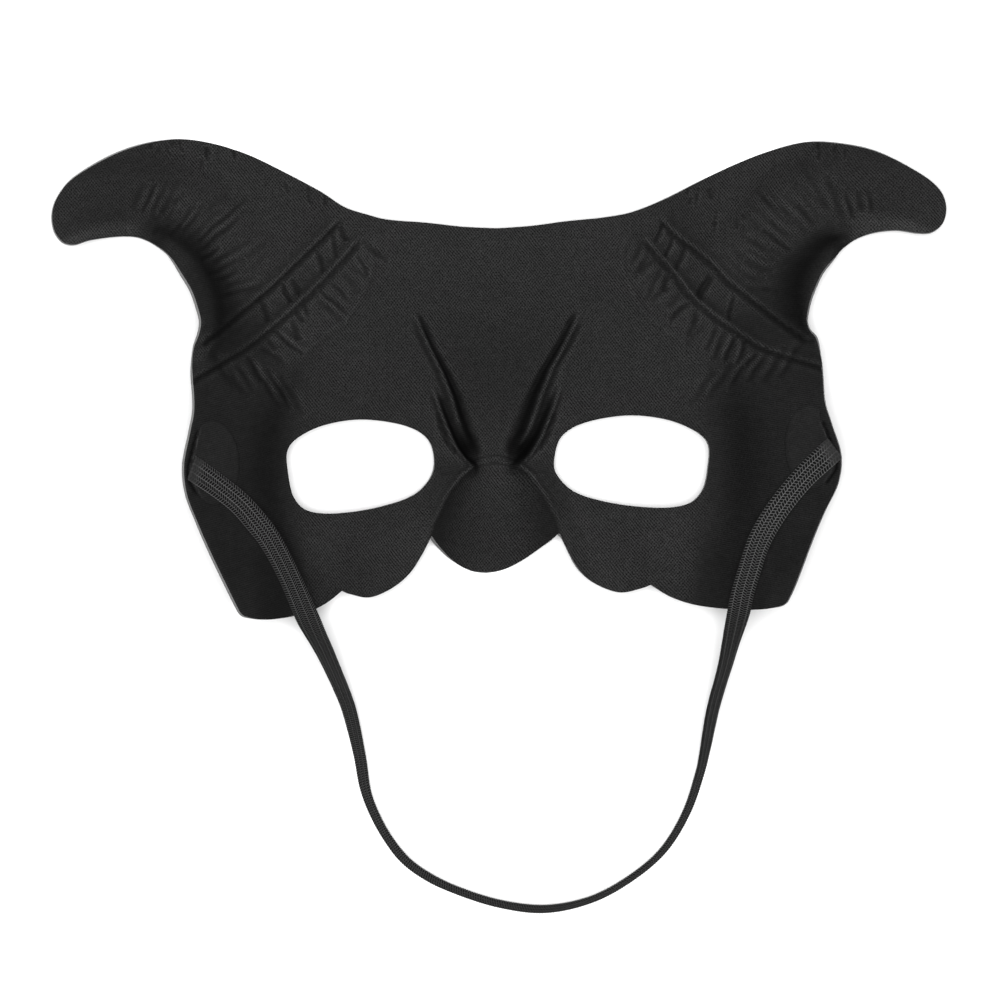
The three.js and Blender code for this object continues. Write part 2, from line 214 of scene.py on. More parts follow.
def soft_step(value, width):
    """0.5 + 0.5 tanh(3.2 (t / width - 0.5)): a step from 0 to 1 over the width, with no corner."""
    return 0.5 + 0.5 * np.tanh(STEP_STEEPNESS * (value / width - 0.5))


def hill(value, reach):
    """The bell curve e^-(t/reach)^2."""
    return np.exp(-(value / reach) ** 2)


def by_side(x, pair):
    """The pair's first value on the left half and its second on the right: the halves differ a little."""
    return np.where(x > 0, pair[1], pair[0])


def catmull(points, parts):
    """A Catmull-Rom spline with even weights through the points, its ends held."""
    p = np.asarray(points, float)
    p = np.vstack([p[:1], p, p[-1:]])
    return join_by_cubics(p, (p[2:-1] - p[:-3]) / 2, (p[3:] - p[1:-2]) / 2, parts)


def beside_line(x, y, line, parts=6):
    """For each point: the signed distance to a splined line (positive on its left) and how far along
    the line, in mm, the nearest place is. It walks the line's straight pieces and keeps the closest."""
    curve = catmull(line, parts)
    best = np.full(np.shape(x), 1e9)
    side = np.zeros(np.shape(x))
    along = np.zeros(np.shape(x))
    travelled = 0.0
    for (ax, ay), (bx, by) in zip(curve[:-1], curve[1:]):
        dx, dy = bx - ax, by - ay
        reach = math.hypot(dx, dy)
        t = np.clip(((x - ax) * dx + (y - ay) * dy) / reach**2, 0, 1)
        away = np.hypot(x - ax - t * dx, y - ay - t * dy)
        closer = away < best
        best = np.where(closer, away, best)
        side = np.where(closer, np.sign(dx * (y - ay) - dy * (x - ax)), side)
        along = np.where(closer, travelled + t * reach, along)
        travelled += reach
    return best * np.where(side == 0, 1, side), along, travelled


print("half way up a step:", smooth(0, 1, 0.5))

# %% Sizes of the main forms, in millimetres and degrees
WALL = 2.0
EYE_OUTER = 61
SHEET = {"bridge": 7, "forehead": 15, "side": 9, "held_over": 9, "cheek": 7, "flatter_by": 0.9}
FOREHEAD_SPAN = (4, 64)
FLATTER_SPAN = (15, 50)
CHEEK_SPAN = (-12, -42)
CHEEK_ENDS = (35, 62)
WING = {"slope": 0.95, "onset": 60, "blend": 7, "out_above": 22, "in_below": 6}
WING_ABOVE = (18, 66)
WING_BELOW = (-15, -45)
WING_ENDS = {"turn": (-55, -20), "y": (45, 60)}
JAW = {"height": 14, "side": (56, 74)}
TEMPLE_BAND = {"height": 10.5, "half": 7, "y": -1, "reach": 25, "x": (68.3, 69.8),
               "bow": (0.0125, 0.005)}
HORN = {"x": 107, "y": 43, "floor": 13.4, "tip_rise": 24, "lip": 4, "right_sag": 0.9}
HORN_BLEND = {"side": (38, 68), "y": (26, 58)}
TIP_TURN = (-45, 55)
LIP_PLACE = {"radius": (40, 52), "turn": (-75, -40)}
HORN_WALL = {"height": 7.6, "foot": (23, 19.4), "steep": (6.5, 4.4), "gentle": (12.5, 8)}
WALL_TURN = {"rise": (-135, -90), "fall": (-36, -2)}


def horn_polar(side, y):
    """Distance from the middle of the horn's ring, and the turn round it in degrees from straight up."""
    dx, dy = side - HORN["x"], y - HORN["y"]
    return np.hypot(dx, dy), np.degrees(np.arctan2(dx, dy))


def face_sheet(side, y):
    """The bowed sheet: bridge + forehead * step(y) + bow - cheek, where the bow is side * (distance /
    eye corner)^2. Past the outer corner of the eye the distance is held, and the brow lies flatter."""
    held = side - soft_ramp(side - EYE_OUTER, SHEET["held_over"])
    bow = SHEET["side"] * (held / EYE_OUTER) ** 2 * (1 - SHEET["flatter_by"] * smooth(*FLATTER_SPAN, y))
    cheek = SHEET["cheek"] * smooth(*CHEEK_SPAN, y) * (1 - smooth(*CHEEK_ENDS, side))
    return SHEET["bridge"] + SHEET["forehead"] * smooth(*FOREHEAD_SPAN, y) + bow - cheek


def horn_trough(x, radius, turn):
    """The floor of the horn: it rises with the turn towards the tip, and outwards into a low lip."""
    trough = HORN["floor"] + HORN["tip_rise"] * smooth(*TIP_TURN, turn)
    trough = trough + HORN["lip"] * smooth(*LIP_PLACE["radius"], radius) * smooth(*LIP_PLACE["turn"], turn)
    return trough - HORN["right_sag"] * (x > 0)


def horn_wall(x, radius, turn):
    """The inner wall of the horn: height * (2 - steep step - gentle step), both from its foot outwards,
    so it stands steep at first and then eases into the floor."""
    tall = HORN_WALL["height"] * smooth(*WALL_TURN["rise"], turn) * (1 - smooth(*WALL_TURN["fall"], turn))
    foot, steep, gentle = (by_side(x, HORN_WALL[key]) for key in ("foot", "steep", "gentle"))
    return tall * (2 - soft_step(radius - foot, steep) - soft_step(radius - foot, gentle))


def temple_band(x, side, y):
    """The step up beside each ear: height * bell(y) * step, along an edge that bows by y squared."""
    from_ear = y - TEMPLE_BAND["y"]
    edge = by_side(x, TEMPLE_BAND["x"]) - by_side(x, TEMPLE_BAND["bow"]) * from_ear**2
    half = TEMPLE_BAND["half"]
    rise = soft_step(side - edge + half, 2 * half)
    return TEMPLE_BAND["height"] * hill(from_ear, TEMPLE_BAND["reach"]) * rise


def main_height(x, y):
    """Sheet * (1 - share) + trough * share, plus the wing, which climbs steeply past its onset, the
    jaw's turn below it, the temple's band and the inner wall of the horn."""
    side = np.abs(x)
    radius, turn = horn_polar(side, y)
    share = smooth(*HORN_BLEND["side"], side) * smooth(*HORN_BLEND["y"], y)
    onset = WING["onset"] + WING["out_above"] * smooth(*WING_ABOVE, y)
    onset = onset - WING["in_below"] * smooth(*WING_BELOW, y)
    on_horn = smooth(*WING_ENDS["turn"], turn) * smooth(*WING_ENDS["y"], y)
    wing = WING["slope"] * soft_ramp(side - onset, WING["blend"]) * (1 - on_horn)
    jaw = JAW["height"] * smooth(*CHEEK_SPAN, y) * smooth(*JAW["side"], side)
    face = face_sheet(side, y) * (1 - share) + horn_trough(x, radius, turn) * share
    return face + wing + jaw + temple_band(x, side, y) + horn_wall(x, radius, turn)


print("bridge, wing and horn floor:", main_height(np.array([0, 85, 80]), np.array([0, 0, 55])).round(1))

# %% [markdown]
# ## Frown and nose
#
# The mould drew the brow together: a sunken strip runs down between two frown lines, each a steep bank
# with a thin raised crest. Below eye level a second pair of crests takes over, and both meet where the
# round hollow of the nose begins. Each bank is a smooth step placed at a crest whose distance from the
# middle is looked up by height, so moving one crest moves its bank, its ridge and its groove together.

# %% Valley down the middle
FROWN_SHIFT = 0.55
FIRST_CREST = np.array([(0.4, 6.6), (7, 8.3), (10, 9.7), (15, 11.4), (20, 12.9), (27, 15.7), (35, 19.9),
                        (43, 23.7)])
SECOND_CREST = np.array([(-0.4, 6.8), (2.4, 9.4), (5.3, 11.5), (8.1, 13.0), (12, 14.7), (16, 16.3),
                         (22, 18.4)])
THIRD_GROOVE = np.array([(2, 10.4), (3.4, 11.7), (7.2, 14.4), (12, 16.3), (16, 17.6)])
FROWN_DEPTH = 7
NOSE_DEPTH = 15
NOSE_RIM = np.array([(-31, 21), (-20.4, 18.9), (-15.8, 17.5), (-12.3, 15.7), (-8.8, 14.1), (-5.9, 12.1),
                     (-3, 9.9), (-0.1, 6.4), (0.8, 5.6)])
NOSE_BOWL = {"sides": 2.2, "floor": 0.9}
BESIDE_NOSE = 2.6
CREST_OVER = 0.2
FIRST_BANK = {"narrow": 1.2, "wider": 2.4}
SECOND_BANK = 2.4


def looked_up(table, y):
    """The table's second column, read off between its rows at height y."""
    return np.interp(y, table[:, 0], table[:, 1])


def nose_half_width(y):
    """Half the width of the nose's hollow at height y."""
    return looked_up(NOSE_RIM, y)


def from_middle(x, y):
    """Distance from the face's middle line, which was pressed a little to one side between the eyes."""
    return np.abs(x - FROWN_SHIFT * smooth(-8, 0, y) * (1 - 0.6 * smooth(14, 30, y)))


def middle_valley(x, y):
    """Depth of the strip and the nose: two banks share the frown's depth, a bowl (1 - u^2.2)^0.9 makes
    the nose, and the cheek dips a little beside its rim."""
    side = from_middle(x, y)
    first, second = looked_up(FIRST_CREST, y), looked_up(SECOND_CREST, y)
    bank = FIRST_BANK["narrow"] + FIRST_BANK["wider"] * smooth(40, 5, y)
    first_step = 1 - smooth(first - bank, first + CREST_OVER, side)
    second_step = 1 - smooth(second - SECOND_BANK, second + CREST_OVER, side)
    second_share = 0.5 * (1 - smooth(12, 25, y)) + 0.3 * (1 - smooth(1, 9, y))
    strip = first_step * (1 - second_share) + second_step * second_share
    bowl = np.clip(1 - (side / nose_half_width(y)) ** NOSE_BOWL["sides"], 0, 1) ** NOSE_BOWL["floor"]
    nose = 1 - smooth(-4, 2.5, y)
    depth = FROWN_DEPTH * smooth(46, 2, y) + NOSE_DEPTH * smooth(6, -34, y)
    outside = side - nose_half_width(y)
    dip = BESIDE_NOSE * smooth(0, 7, outside) * (1 - smooth(7, 30, outside)) * smooth(5, -3, y)
    return depth * (strip * (1 - nose) + bowl * nose) + dip


print("valley depth at the nose:", float(middle_valley(0.0, -25.0).round(1)), "mm")

# %% [markdown]
# ## Lines of the frown
#
# The mould's edges were sharp, so thin lines stand up and sink in along the crests. They are kept apart
# from the valley because they are finer than the foam is thick: the lining shows all of them, and the
# outer side only a softened half. Each is a bell curve across its line, over a stretch of its height.

# %% Ridges, grooves and the pocket
LINE_RELIEF = {"first crest": (0.75, 0.9), "second crest": (1.05, 0.8), "nose rim": (0.65, 1.1),
               "third groove": (-1.3, 0.75), "arc": (-0.2, 0.45)}
FIRST_FADES = (11, 6)
BEHIND = {"depth": (0.35, 0.95), "away": 1.9, "reach": 0.8}
ARCS = {"y": (2.7, 0.4), "bow": 0.036, "ends": (5, 8)}
POCKET = {"depth": 2.4, "x": 7.5, "y": 3.5, "lean": 0.35, "width": 2.5, "middle": 4.2, "height": 3.8}
PAINTED_BANK_SHADE = {"narrow": 1.5, "wider": 1.5, "second": 3.1, "joins_below": (13, 7), "joins_over": 3}


def line_relief(name, distance):
    """Height across the named line: its own height times a bell curve of its own reach, in mm."""
    height, reach = LINE_RELIEF[name]
    return height * hill(distance, reach)


def bank_share(x, y):
    """1 on the bank inside each pair of crests, where the lining gets painted shade, 0 beside it, with a
    sharp step at both sides.
    """
    side = from_middle(x, y)
    first, second = looked_up(FIRST_CREST, y), looked_up(SECOND_CREST, y)
    foot = first - (PAINTED_BANK_SHADE["narrow"] + PAINTED_BANK_SHADE["wider"] * smooth(38, 22, y))
    upper = within(side, (foot - 0.7, foot + 0.3), (first - 0.9, first - 0.1)) * within(y, (2, 5), (39, 43))
    joined = smooth(0, 1, (by_side(x, PAINTED_BANK_SHADE["joins_below"]) - y) / PAINTED_BANK_SHADE["joins_over"])
    inner = (second - PAINTED_BANK_SHADE["second"]) * (1 - joined) + foot * joined
    lower = within(side, (inner - 0.5, inner + 0.5), (second - 0.9, second - 0.1))
    return np.maximum(upper, lower * within(y, (1, 3.5), (14, 18)))


def pocket_share(x, y):
    """1 in the middle of the pocket where both frown lines end and the lining is gathered: a bell curve
    across the leaning pocket times another along it."""
    across = from_middle(x, y) - POCKET["x"] - POCKET["lean"] * (y - POCKET["y"])
    return hill(across, POCKET["width"]) * hill(y - POCKET["middle"], POCKET["height"])


def frown_crests(x, y):
    """The sum of the fine lines: ridges on both crests and on the rim of the nose, less the grooves at
    the foot of each bank, behind the first crest and along the third line, the pocket, and two faint
    arcs between the eyes."""
    side = from_middle(x, y)
    first, second = looked_up(FIRST_CREST, y), looked_up(SECOND_CREST, y)
    fades = by_side(x, FIRST_FADES)
    total = line_relief("first crest", side - first) * within(y, (fades, fades + 3.5), (38, 45))
    total = total + line_relief("second crest", side - second) * within(y, (-1, 3), (17, 24))
    behind = by_side(x, BEHIND["depth"]) * within(y, (14, 20), (36, 41))
    total = total - behind * hill(side - first - BEHIND["away"], BEHIND["reach"])
    low = smooth(34, 10, y)
    foot = hill(side - first + 1.6 + 1.0 * low, 0.9 + 0.8 * low) * within(y, (1, 6), (40.5, 44))
    second_foot = hill(side - second + 2.0, 1.2 + 0.7 * smooth(12, 7, y)) * within(y, (0, 4), (16, 21))
    total = total - (1.2 + 0.5 * low) * foot - 1.1 * second_foot
    total = total - POCKET["depth"] * pocket_share(x, y)
    rim = line_relief("nose rim", side - nose_half_width(y) - 0.3) * within(y, (2, -1), (-12, -21))
    third = line_relief("third groove", side - looked_up(THIRD_GROOVE, y)) * within(y, (2, 5), (12, 16))
    arcs = sum(line_relief("arc", y - high + ARCS["bow"] * side**2) for high in ARCS["y"])
    return total + rim + third + arcs * (1 - smooth(*ARCS["ends"], side))


print("first crest, 20 mm up:", float(frown_crests(np.array(12.9 + FROWN_SHIFT), 20.0).round(2)), "mm")

# %% [markdown]
# ## Horn collars and creases
#
# Each horn grows out of a collar, a band between two raised lines that run across its root. The stiff
# lining could not follow the mould there, so it lies in small creases: long ones along the shaft, short
# ones round the inner curve, rungs across the collar, and a fan of them on the brow. One function adds a
# tapered crease, and loops with a seeded random source place them, slightly uneven as cloth is.

# %% Collar lines and creases
COLLAR_MIDDLE = [(35, 75), (43, 65), (54, 54), (66, 45), (78, 38.5), (90, 34)]
COLLAR_LINES = {
    -1: [[(44, 72), (48.4, 67.2), (58.3, 57.9), (64.6, 52), (72.9, 45.4), (87, 34.5)],
         [(38.5, 66.5), (44.7, 59.2), (52, 51.7), (58.6, 45.6), (65.1, 40.2), (73.7, 34), (91, 24)]],
    1: [[(47, 71), (52.2, 65.7), (62.6, 58.3), (68, 52.4), (76.2, 44.9), (87, 33)],
        [(42, 65.5), (46.6, 60.2), (52.1, 54.5), (56.8, 48.4), (63.2, 42.3), (69.2, 37.4), (76, 32),
         (91, 25.5)]],
}
BROW_FAN_EDGE = [(38, 66), (35.6, 57.9), (39, 48.9), (43.6, 41.9), (49, 38), (57, 31)]
COLLAR_SINK = 1.2
COLLAR_REACH = 4.2
SHAFT = np.array([-0.76, 0.65])
ACROSS_SHAFT = np.array([0.65, 0.76])
CREASE_SWAY = 0.16
CREASE_WAVE = 9.0
TUFTS = {-1: [(93, 91), (78, 87), (53, 76.5)], 1: [(58, 75.5), (98, 88.5), (69, 67)]}


def crease(x, y, start, end, height, width):
    """A bell-shaped ridge or groove along a stretch that sways a little, fading out at both ends."""
    dx, dy = end[0] - start[0], end[1] - start[1]
    length = math.hypot(dx, dy)
    t = ((x - start[0]) * dx + (y - start[1]) * dy) / length**2
    held = np.clip(t, 0, 1)
    across = ((y - start[1]) * dx - (x - start[0]) * dy) / length
    sway = CREASE_SWAY * np.sin(2 * np.pi * (held * length / CREASE_WAVE + start[0]))
    away = np.hypot((t - held) * length, across - sway)
    return height * hill(away, width) * np.sin(np.pi * held) ** 0.7


def crease_list(sign):
    """Where one horn's creases run: rows of start, end, height and width in mm, jittered by a seed."""
    jitter = np.random.default_rng(7 if sign < 0 else 11)
    rows = []
    # Long creases along the shaft.
    for reach in np.arange(5, 36, 4.2):
        start = np.array([78, 43]) + SHAFT * jitter.uniform(2, 7)
        start = start + ACROSS_SHAFT * (reach + jitter.uniform(-1, 1))
        end = start + SHAFT * jitter.uniform(12, 22)
        rows.append((start, end, -jitter.uniform(0.25, 0.6), jitter.uniform(0.9, 1.8)))
    # Short rays round the inner curve.
    for turn in np.radians(np.linspace(-78, -7 if sign < 0 else 3, 16)):
        ray = np.array([math.sin(turn), math.cos(turn)])
        start = np.array([HORN["x"], HORN["y"]]) + ray * jitter.uniform(26, 32)
        lean = ray + np.array([-0.3, 0.15]) * jitter.uniform(-0.3, 1.5)
        end = start + lean * jitter.uniform(6, 14)
        deep = 0.85 if sign < 0 else 0.65
        rows.append((start, end, -jitter.uniform(0.3, deep), jitter.uniform(0.7, 1.3)))
    upper, lower = (catmull(line, 8) for line in COLLAR_LINES[sign])
    # Rungs from one collar line to the other.
    for share in (0.14, 0.2, 0.27, 0.45, 0.5, 0.66):
        spot = share + jitter.uniform(-0.02, 0.02)
        first, last = upper[int(spot * (len(upper) - 1))], lower[int(spot * (len(lower) - 1))]
        rung = last - first
        start = first + rung * jitter.uniform(0, 0.3)
        end = last - rung * jitter.uniform(0, 0.3)
        rows.append((start, end, -jitter.uniform(0.7, 1.2), jitter.uniform(0.6, 1.0)))
    # A fan on the brow, below the lower collar line.
    for share in np.linspace(0.06, 0.84, 15):
        start = lower[int(share * (len(lower) - 1))] - ACROSS_SHAFT * jitter.uniform(0.8, 2.5)
        lean = -ACROSS_SHAFT + SHAFT * jitter.uniform(-0.4, 0.3)
        end = start + lean * jitter.uniform(4, 12)
        rows.append((start, end, -jitter.uniform(0.4, 1.0 if sign < 0 else 1.2), jitter.uniform(0.7, 1.3)))
    # A row of parallel creases above the temple.
    for step in range(6):
        start = np.array([84 - 4.2 * step, 33 - 1.2 * step]) + jitter.uniform(-0.8, 0.8, 2)
        end = start + np.array([-6.5, -10]) * jitter.uniform(0.9, 1.3)
        rows.append((start, end, -0.75, jitter.uniform(0.9, 1.4)))
    # Tufts of short upright creases near the upper edge.
    for spot in TUFTS[sign]:
        for _ in range(7):
            start = np.array(spot) + jitter.uniform(-1, 1, 2) * (6, 2.5)
            end = start + jitter.uniform(-1, 1, 2) * (1.2, 0.8) + np.array([0.6, 3.2])
            rows.append((start, end, -jitter.uniform(0.2, 0.45), jitter.uniform(0.5, 0.8)))
    return rows


CREASES = {sign: crease_list(sign) for sign in (-1, 1)}


def collar_and_creases(x, y):
    """Collar lines as ridges with a steep side towards the brow, then every crease of both horns."""
    total = np.zeros(np.shape(x))
    for sign in (-1, 1):
        mine = (x * sign > 30) & (y > 5)
        side, high = np.abs(x[mine]), y[mine]
        height = np.zeros(side.shape)
        for line in COLLAR_LINES[sign]:
            distance, along, length = beside_line(side, high, line)
            ends = smooth(0, 5, along) * (1 - smooth(length - 2.5, length, along))
            horn_side = distance > 0
            ridge = np.where(horn_side, hill(distance, 1.5), hill(distance, 0.6))
            groove = np.where(horn_side, 0, hill(distance + 1.25, 0.95))
            height += (0.75 * ridge - 0.75 * groove) * ends
        distance, along, length = beside_line(side, high, BROW_FAN_EDGE)
        height += 0.16 * hill(distance, 0.8) * smooth(0, 5, along) * (1 - smooth(length - 5, length, along))
        for start, end, tall, wide in CREASES[sign]:
            height += crease(side, high, start, end, tall, wide)
        total[mine] += height
    return total


print("creases on each horn:", [len(rows) for rows in CREASES.values()])

# %% Height of the hollow side and of the outer side
SLIT = [(87.8, 10.9), (88.8, 7.8), (89.9, 3.9), (90.8, 0.6), (91.0, -2.0), (90.2, -4.2), (87.9, -7.8)]
SLIT_DEPTH = 0.7


def form_height(x, y):
    """The main form with the valley and the sunk collar band, without any crease."""
    distance, _, _ = beside_line(np.abs(x), y, COLLAR_MIDDLE, parts=1)
    return main_height(x, y) - middle_valley(x, y) - COLLAR_SINK * hill(distance, COLLAR_REACH)


def slit_share(x, y):
    """1 in the narrow slit beside each patch, fainter towards its upper end, and 0 beside it."""
    distance, along, length = beside_line(np.abs(x), y, SLIT)
    ends = smooth(-0.5, 1.5, along) * (1 - smooth(length - 2, length, along))
    return hill(distance, 0.45) * ends * (0.7 + 0.3 * smooth(10, 3, y)) * (y > -12) * (y < 16)


def lined_height(x, y):
    """The hollow side with all its relief: form + frown lines + creases - slit depth * slit share."""
    return form_height(x, y) + frown_crests(x, y) + collar_and_creases(x, y) - SLIT_DEPTH * slit_share(x, y)


def slopes(height, x, y, step=0.4):
    """Slope along x and along y, by the difference between two near heights."""
    along_x = (height(x + step, y) - height(x - step, y)) / (2 * step)
    along_y = (height(x, y + step) - height(x, y - step)) / (2 * step)
    return along_x, along_y


def stretch_along_z(x, y):
    """How much longer a distance square to the form is when measured along z: sqrt(1 + slope^2)."""
    along_x, along_y = slopes(form_height, x, y)
    return np.sqrt(1 + along_x**2 + along_y**2)


def outer_height(x, y):
    """The outer side, one wall below: form + half the frown lines - wall * sqrt(1 + slope^2)."""
    return form_height(x, y) + 0.5 * frown_crests(x, y) - WALL * stretch_along_z(x, y)


probe = np.array([0.0, 60.0]), np.array([40.0, 55.0])
print("wall along z:", (lined_height(*probe) - outer_height(*probe)).round(2), "mm")

# %% [markdown]
# ## The cut edge
#
# After pressing, the mask is cut out. The cut line is a set of splines that meet in corners at the
# cheeks, the lobes and the nose. The two horns were not trimmed quite alike, so each has its own
# stretch. The same line, put through both heights, gives the edge of the hollow side and of the outer
# side. The knife stood a little slanted on the wings, so there the grey core of the foam shows as a rim.

# %% Cut line
FOREHEAD_EDGE = [(0, 67.4), (10, 68), (20, 69.2), (31, 70.2)]
HORN_EDGE = {
    -1: [(37, 71.8), (43.5, 74), (50, 78.5), (60, 84.2), (70, 89.2), (80, 92.4), (90, 93.7), (100, 92.2),
         (110, 88.5), (120, 82.6), (124.4, 77.8), (126.4, 73), (126.2, 68), (124, 64.4), (120.5, 63.5),
         (115, 65.1), (105, 66.3), (99.5, 64.8), (94.3, 60.3), (91.1, 55), (88.3, 50), (86.8, 45),
         (86.1, 41), (86.7, 37.5), (88.2, 33.5)],
    1: [(40, 71.9), (50, 75.8), (60, 80.7), (70, 85.3), (80, 89), (90, 91.3), (100, 90.6), (110, 88),
        (120, 82.5), (126, 77.4), (128.1, 72.5), (127.3, 67.4), (124, 64.4), (120, 64.2), (114, 65.3),
        (107, 64.4), (100, 60.6), (95, 57.2), (91.5, 54), (88.8, 49.5), (86.6, 44.5), (85.8, 40),
        (86.4, 36.5), (88.1, 33.5)],
}
SIDE_EDGE = [(88.8, 28), (88.6, 17), (90, 10), (92, 1), (91.3, -7), (88.2, -15), (83.9, -25), (79.4, -35),
             (77, -40)]
CHEEK_EDGE = [(75, -41.4), (68, -42.5), (58, -41.7), (50.5, -39.2), (44.8, -35.4)]
LOBE_EDGE = [(42.5, -36.4), (36.5, -37.6), (30, -35.2), (25, -31.2), (21.3, -25.5), (18.6, -20)]
NOSE_EDGE = [(15.5, -23.2), (10.5, -27.6), (5, -30.6), (0, -31.3)]
EYE_EDGE = [(17.4, 1.5), (19.4, 7.8), (26, 11.7), (38, 13.6), (49, 12.3), (57, 8.9), (60.7, 4.8), (60.5, -2),
            (59, -8.3), (55, -12.2), (47, -13.2), (35, -11.9), (24, -8.6), (18.5, -3.5)]
EDGE_STEP = 0.6


def half_outline(sign):
    """Splines of one half from the forehead to the nose. Each starts where the last one ended."""
    stretches = [[*FOREHEAD_EDGE, *HORN_EDGE[sign], *SIDE_EDGE], CHEEK_EDGE, LOBE_EDGE, NOSE_EDGE]
    linked = [stretches[0]] + [[a[-1], *b] for a, b in zip(stretches[:-1], stretches[1:])]
    return np.vstack([catmull(stretch, 12)[:-1] for stretch in linked]) * [sign, 1]


def even_loop(points, step=EDGE_STEP):
    """A closed loop as points at nearly equal distances."""
    closed = np.vstack([points, points[:1]])
    count = int(np.linalg.norm(np.diff(closed, axis=0), axis=1).sum() / step)
    return at_even_steps(closed, count + 1)[0][:-1]


def cut_lines():
    """The outer loop, anticlockwise, and the two eye holes, clockwise."""
    right, left = half_outline(1), half_outline(-1)
    outside = even_loop(np.vstack([left, [[0, NOSE_EDGE[-1][1]]], right[::-1][:-1]]))
    eye = catmull([EYE_EDGE[-1], *EYE_EDGE, *EYE_EDGE[:2]], 12)[12:-13]
    return [outside, even_loop(eye), even_loop(eye * [-1, 1])[::-1]]


def loop_outward(loop):
    """Unit normals in the plane that point away from the material, to the right of the way it runs."""
    along = np.roll(loop, -1, axis=0) - np.roll(loop, 1, axis=0)
    normal = np.stack([along[:, 1], -along[:, 0]], -1)
    return normal / np.linalg.norm(normal, axis=1)[:, None]


def signed_area(loop):
    """Half the sum of x * next y - y * next x, positive for a loop that runs anticlockwise."""
    x, y = loop.T
    return 0.5 * float(np.sum(x * np.roll(y, -1) - y * np.roll(x, -1)))


LOOPS = cut_lines()
print("edge points:", [len(loop) for loop in LOOPS], "areas", [round(signed_area(a)) for a in LOOPS])

# %% [markdown]
# ## Filling the outline with triangles
#
# A square grid would leave a stepped edge, so the surface is filled another way. A honeycomb of points is
# laid over the plane, those inside the outline are kept, and Blender's Delaunay routine joins them and
# the edge points into even triangles. Whether a point is inside is settled row by row: a point has an odd
# number of edge crossings on its left.

# %% Triangles inside the cut line
def row_crossings(loops, y):
    """Where a row at height y crosses the loops, sorted from left to right."""
    found = []
    for loop in loops:
        after = np.roll(loop, -1, axis=0)
        crosses = (loop[:, 1] > y) != (after[:, 1] > y)
        a, b = loop[crosses], after[crosses]
        found.append(a[:, 0] + (y - a[:, 1]) / (b[:, 1] - a[:, 1]) * (b[:, 0] - a[:, 0]))
    return np.sort(np.concatenate(found))


def honeycomb_inside(loops, spacing):
    """Points of a honeycomb that stay half a spacing clear of every edge."""
    margin = 0.5 * spacing
    low, high = loops[0].min(0), loops[0].max(0)
    rows = []
    for number, y in enumerate(np.arange(low[1], high[1], spacing * math.sqrt(3) / 2)):
        x = np.arange(low[0] + (number % 2) * spacing / 2, high[0], spacing)
        keep = np.ones(x.shape, bool)
        for shift_y in (-margin, 0, margin):
            crossings = row_crossings(loops, y + shift_y)
            for shift_x in (-margin, 0, margin):
                keep &= np.searchsorted(crossings, x + shift_x) % 2 == 1
        rows.append(np.stack([x[keep], np.full(keep.sum(), y)], -1))
    return np.vstack(rows)


def inside_loops(points, loops):
    """Whether each point has an odd number of crossings of its row on its left."""
    return np.array([np.searchsorted(row_crossings(loops, y), x) % 2 == 1 for x, y in points])


def fill_outline(loops, spacing):
    """Points and anticlockwise triangles: the edge points come first, in the order of the loops."""
    edge = np.vstack(loops)
    points = np.vstack([edge, honeycomb_inside(loops, spacing)])
    links, start = [], 0
    for loop in loops:
        ring = np.arange(start, start + len(loop))
        links += list(zip(ring.tolist(), np.roll(ring, -1).tolist()))
        start += len(loop)
    _, _, faces, origin, _, _ = delaunay_2d_cdt(points.tolist(), links, [], 0, 1e-7)
    source = np.array([group[0] if group else 0 for group in origin])
    triangles = source[np.array(faces)]
    all_edge = (triangles < len(edge)).all(axis=1)
    keep = ~all_edge
    keep[all_edge] = inside_loops(points[triangles[all_edge]].mean(axis=1), loops)
    triangles = triangles[keep]
    a, b, c = (points[triangles[:, k]] for k in range(3))
    turn = (b[:, 0] - a[:, 0]) * (c[:, 1] - a[:, 1]) - (b[:, 1] - a[:, 1]) * (c[:, 0] - a[:, 0])
    triangles[turn < 0] = triangles[turn < 0][:, ::-1]
    return points, triangles[np.abs(turn) > 1e-9]


LINED_SPACING = 0.62
OUTER_SPACING = 1.5
INSET = 0.2

lined_loops = [loop - INSET * loop_outward(loop) for loop in LOOPS]
lined_points, lined_triangles = fill_outline(lined_loops, LINED_SPACING)
print("hollow side:", len(lined_points), "points,", len(lined_triangles), "triangles")

# %% [markdown]
# ## Mask shell
#
# Three bands close the shell: the hollow side, the outer side and the edge between them. The edge has a
# few rows of its own so that the lining rolls over softly, the foam core shows as a flat cut and the
# outer skin rolls back under. The outer side is pressed flat where it stands on the table.

# %% Rows of the edge
RIM_SHOW = 0.4
ROLL = 0.25


def edge_rows():
    """From the lining to the outer skin. On a wing the outer edge stands out by a share of the wall's
    slant: wall * sin(slope angle) * RIM_SHOW. Returns each row's points, with the two outer loops."""
    rows, outer_loops = [[] for _ in range(5)], []
    for loop in LOOPS:
        out = loop_outward(loop)
        along_x, along_y = slopes(form_height, *loop.T)
        rise = np.clip(along_x * out[:, 0] + along_y * out[:, 1], 0, 3)
        for _ in range(6):
            rise = (np.roll(rise, 1) + rise + np.roll(rise, -1)) / 3
        stand = (WALL * RIM_SHOW * rise / np.hypot(1, rise))[:, None]
        beyond = loop + out * stand
        inset = loop - INSET * out
        low = outer_height(*beyond.T)
        top = lined_height(*inset.T)
        rows[0].append(np.column_stack([loop - 0.06 * out, top - 0.06]))
        rows[1].append(np.column_stack([loop, top - ROLL]))
        rows[2].append(np.column_stack([loop + 0.02 * out, top - ROLL - 0.12]))
        rows[3].append(np.column_stack([beyond, low + ROLL]))
        rows[4].append(np.column_stack([beyond - 0.06 * out, low + 0.06]))
        outer_loops.append(beyond - INSET * out)
    return [np.vstack(row) for row in rows], outer_loops


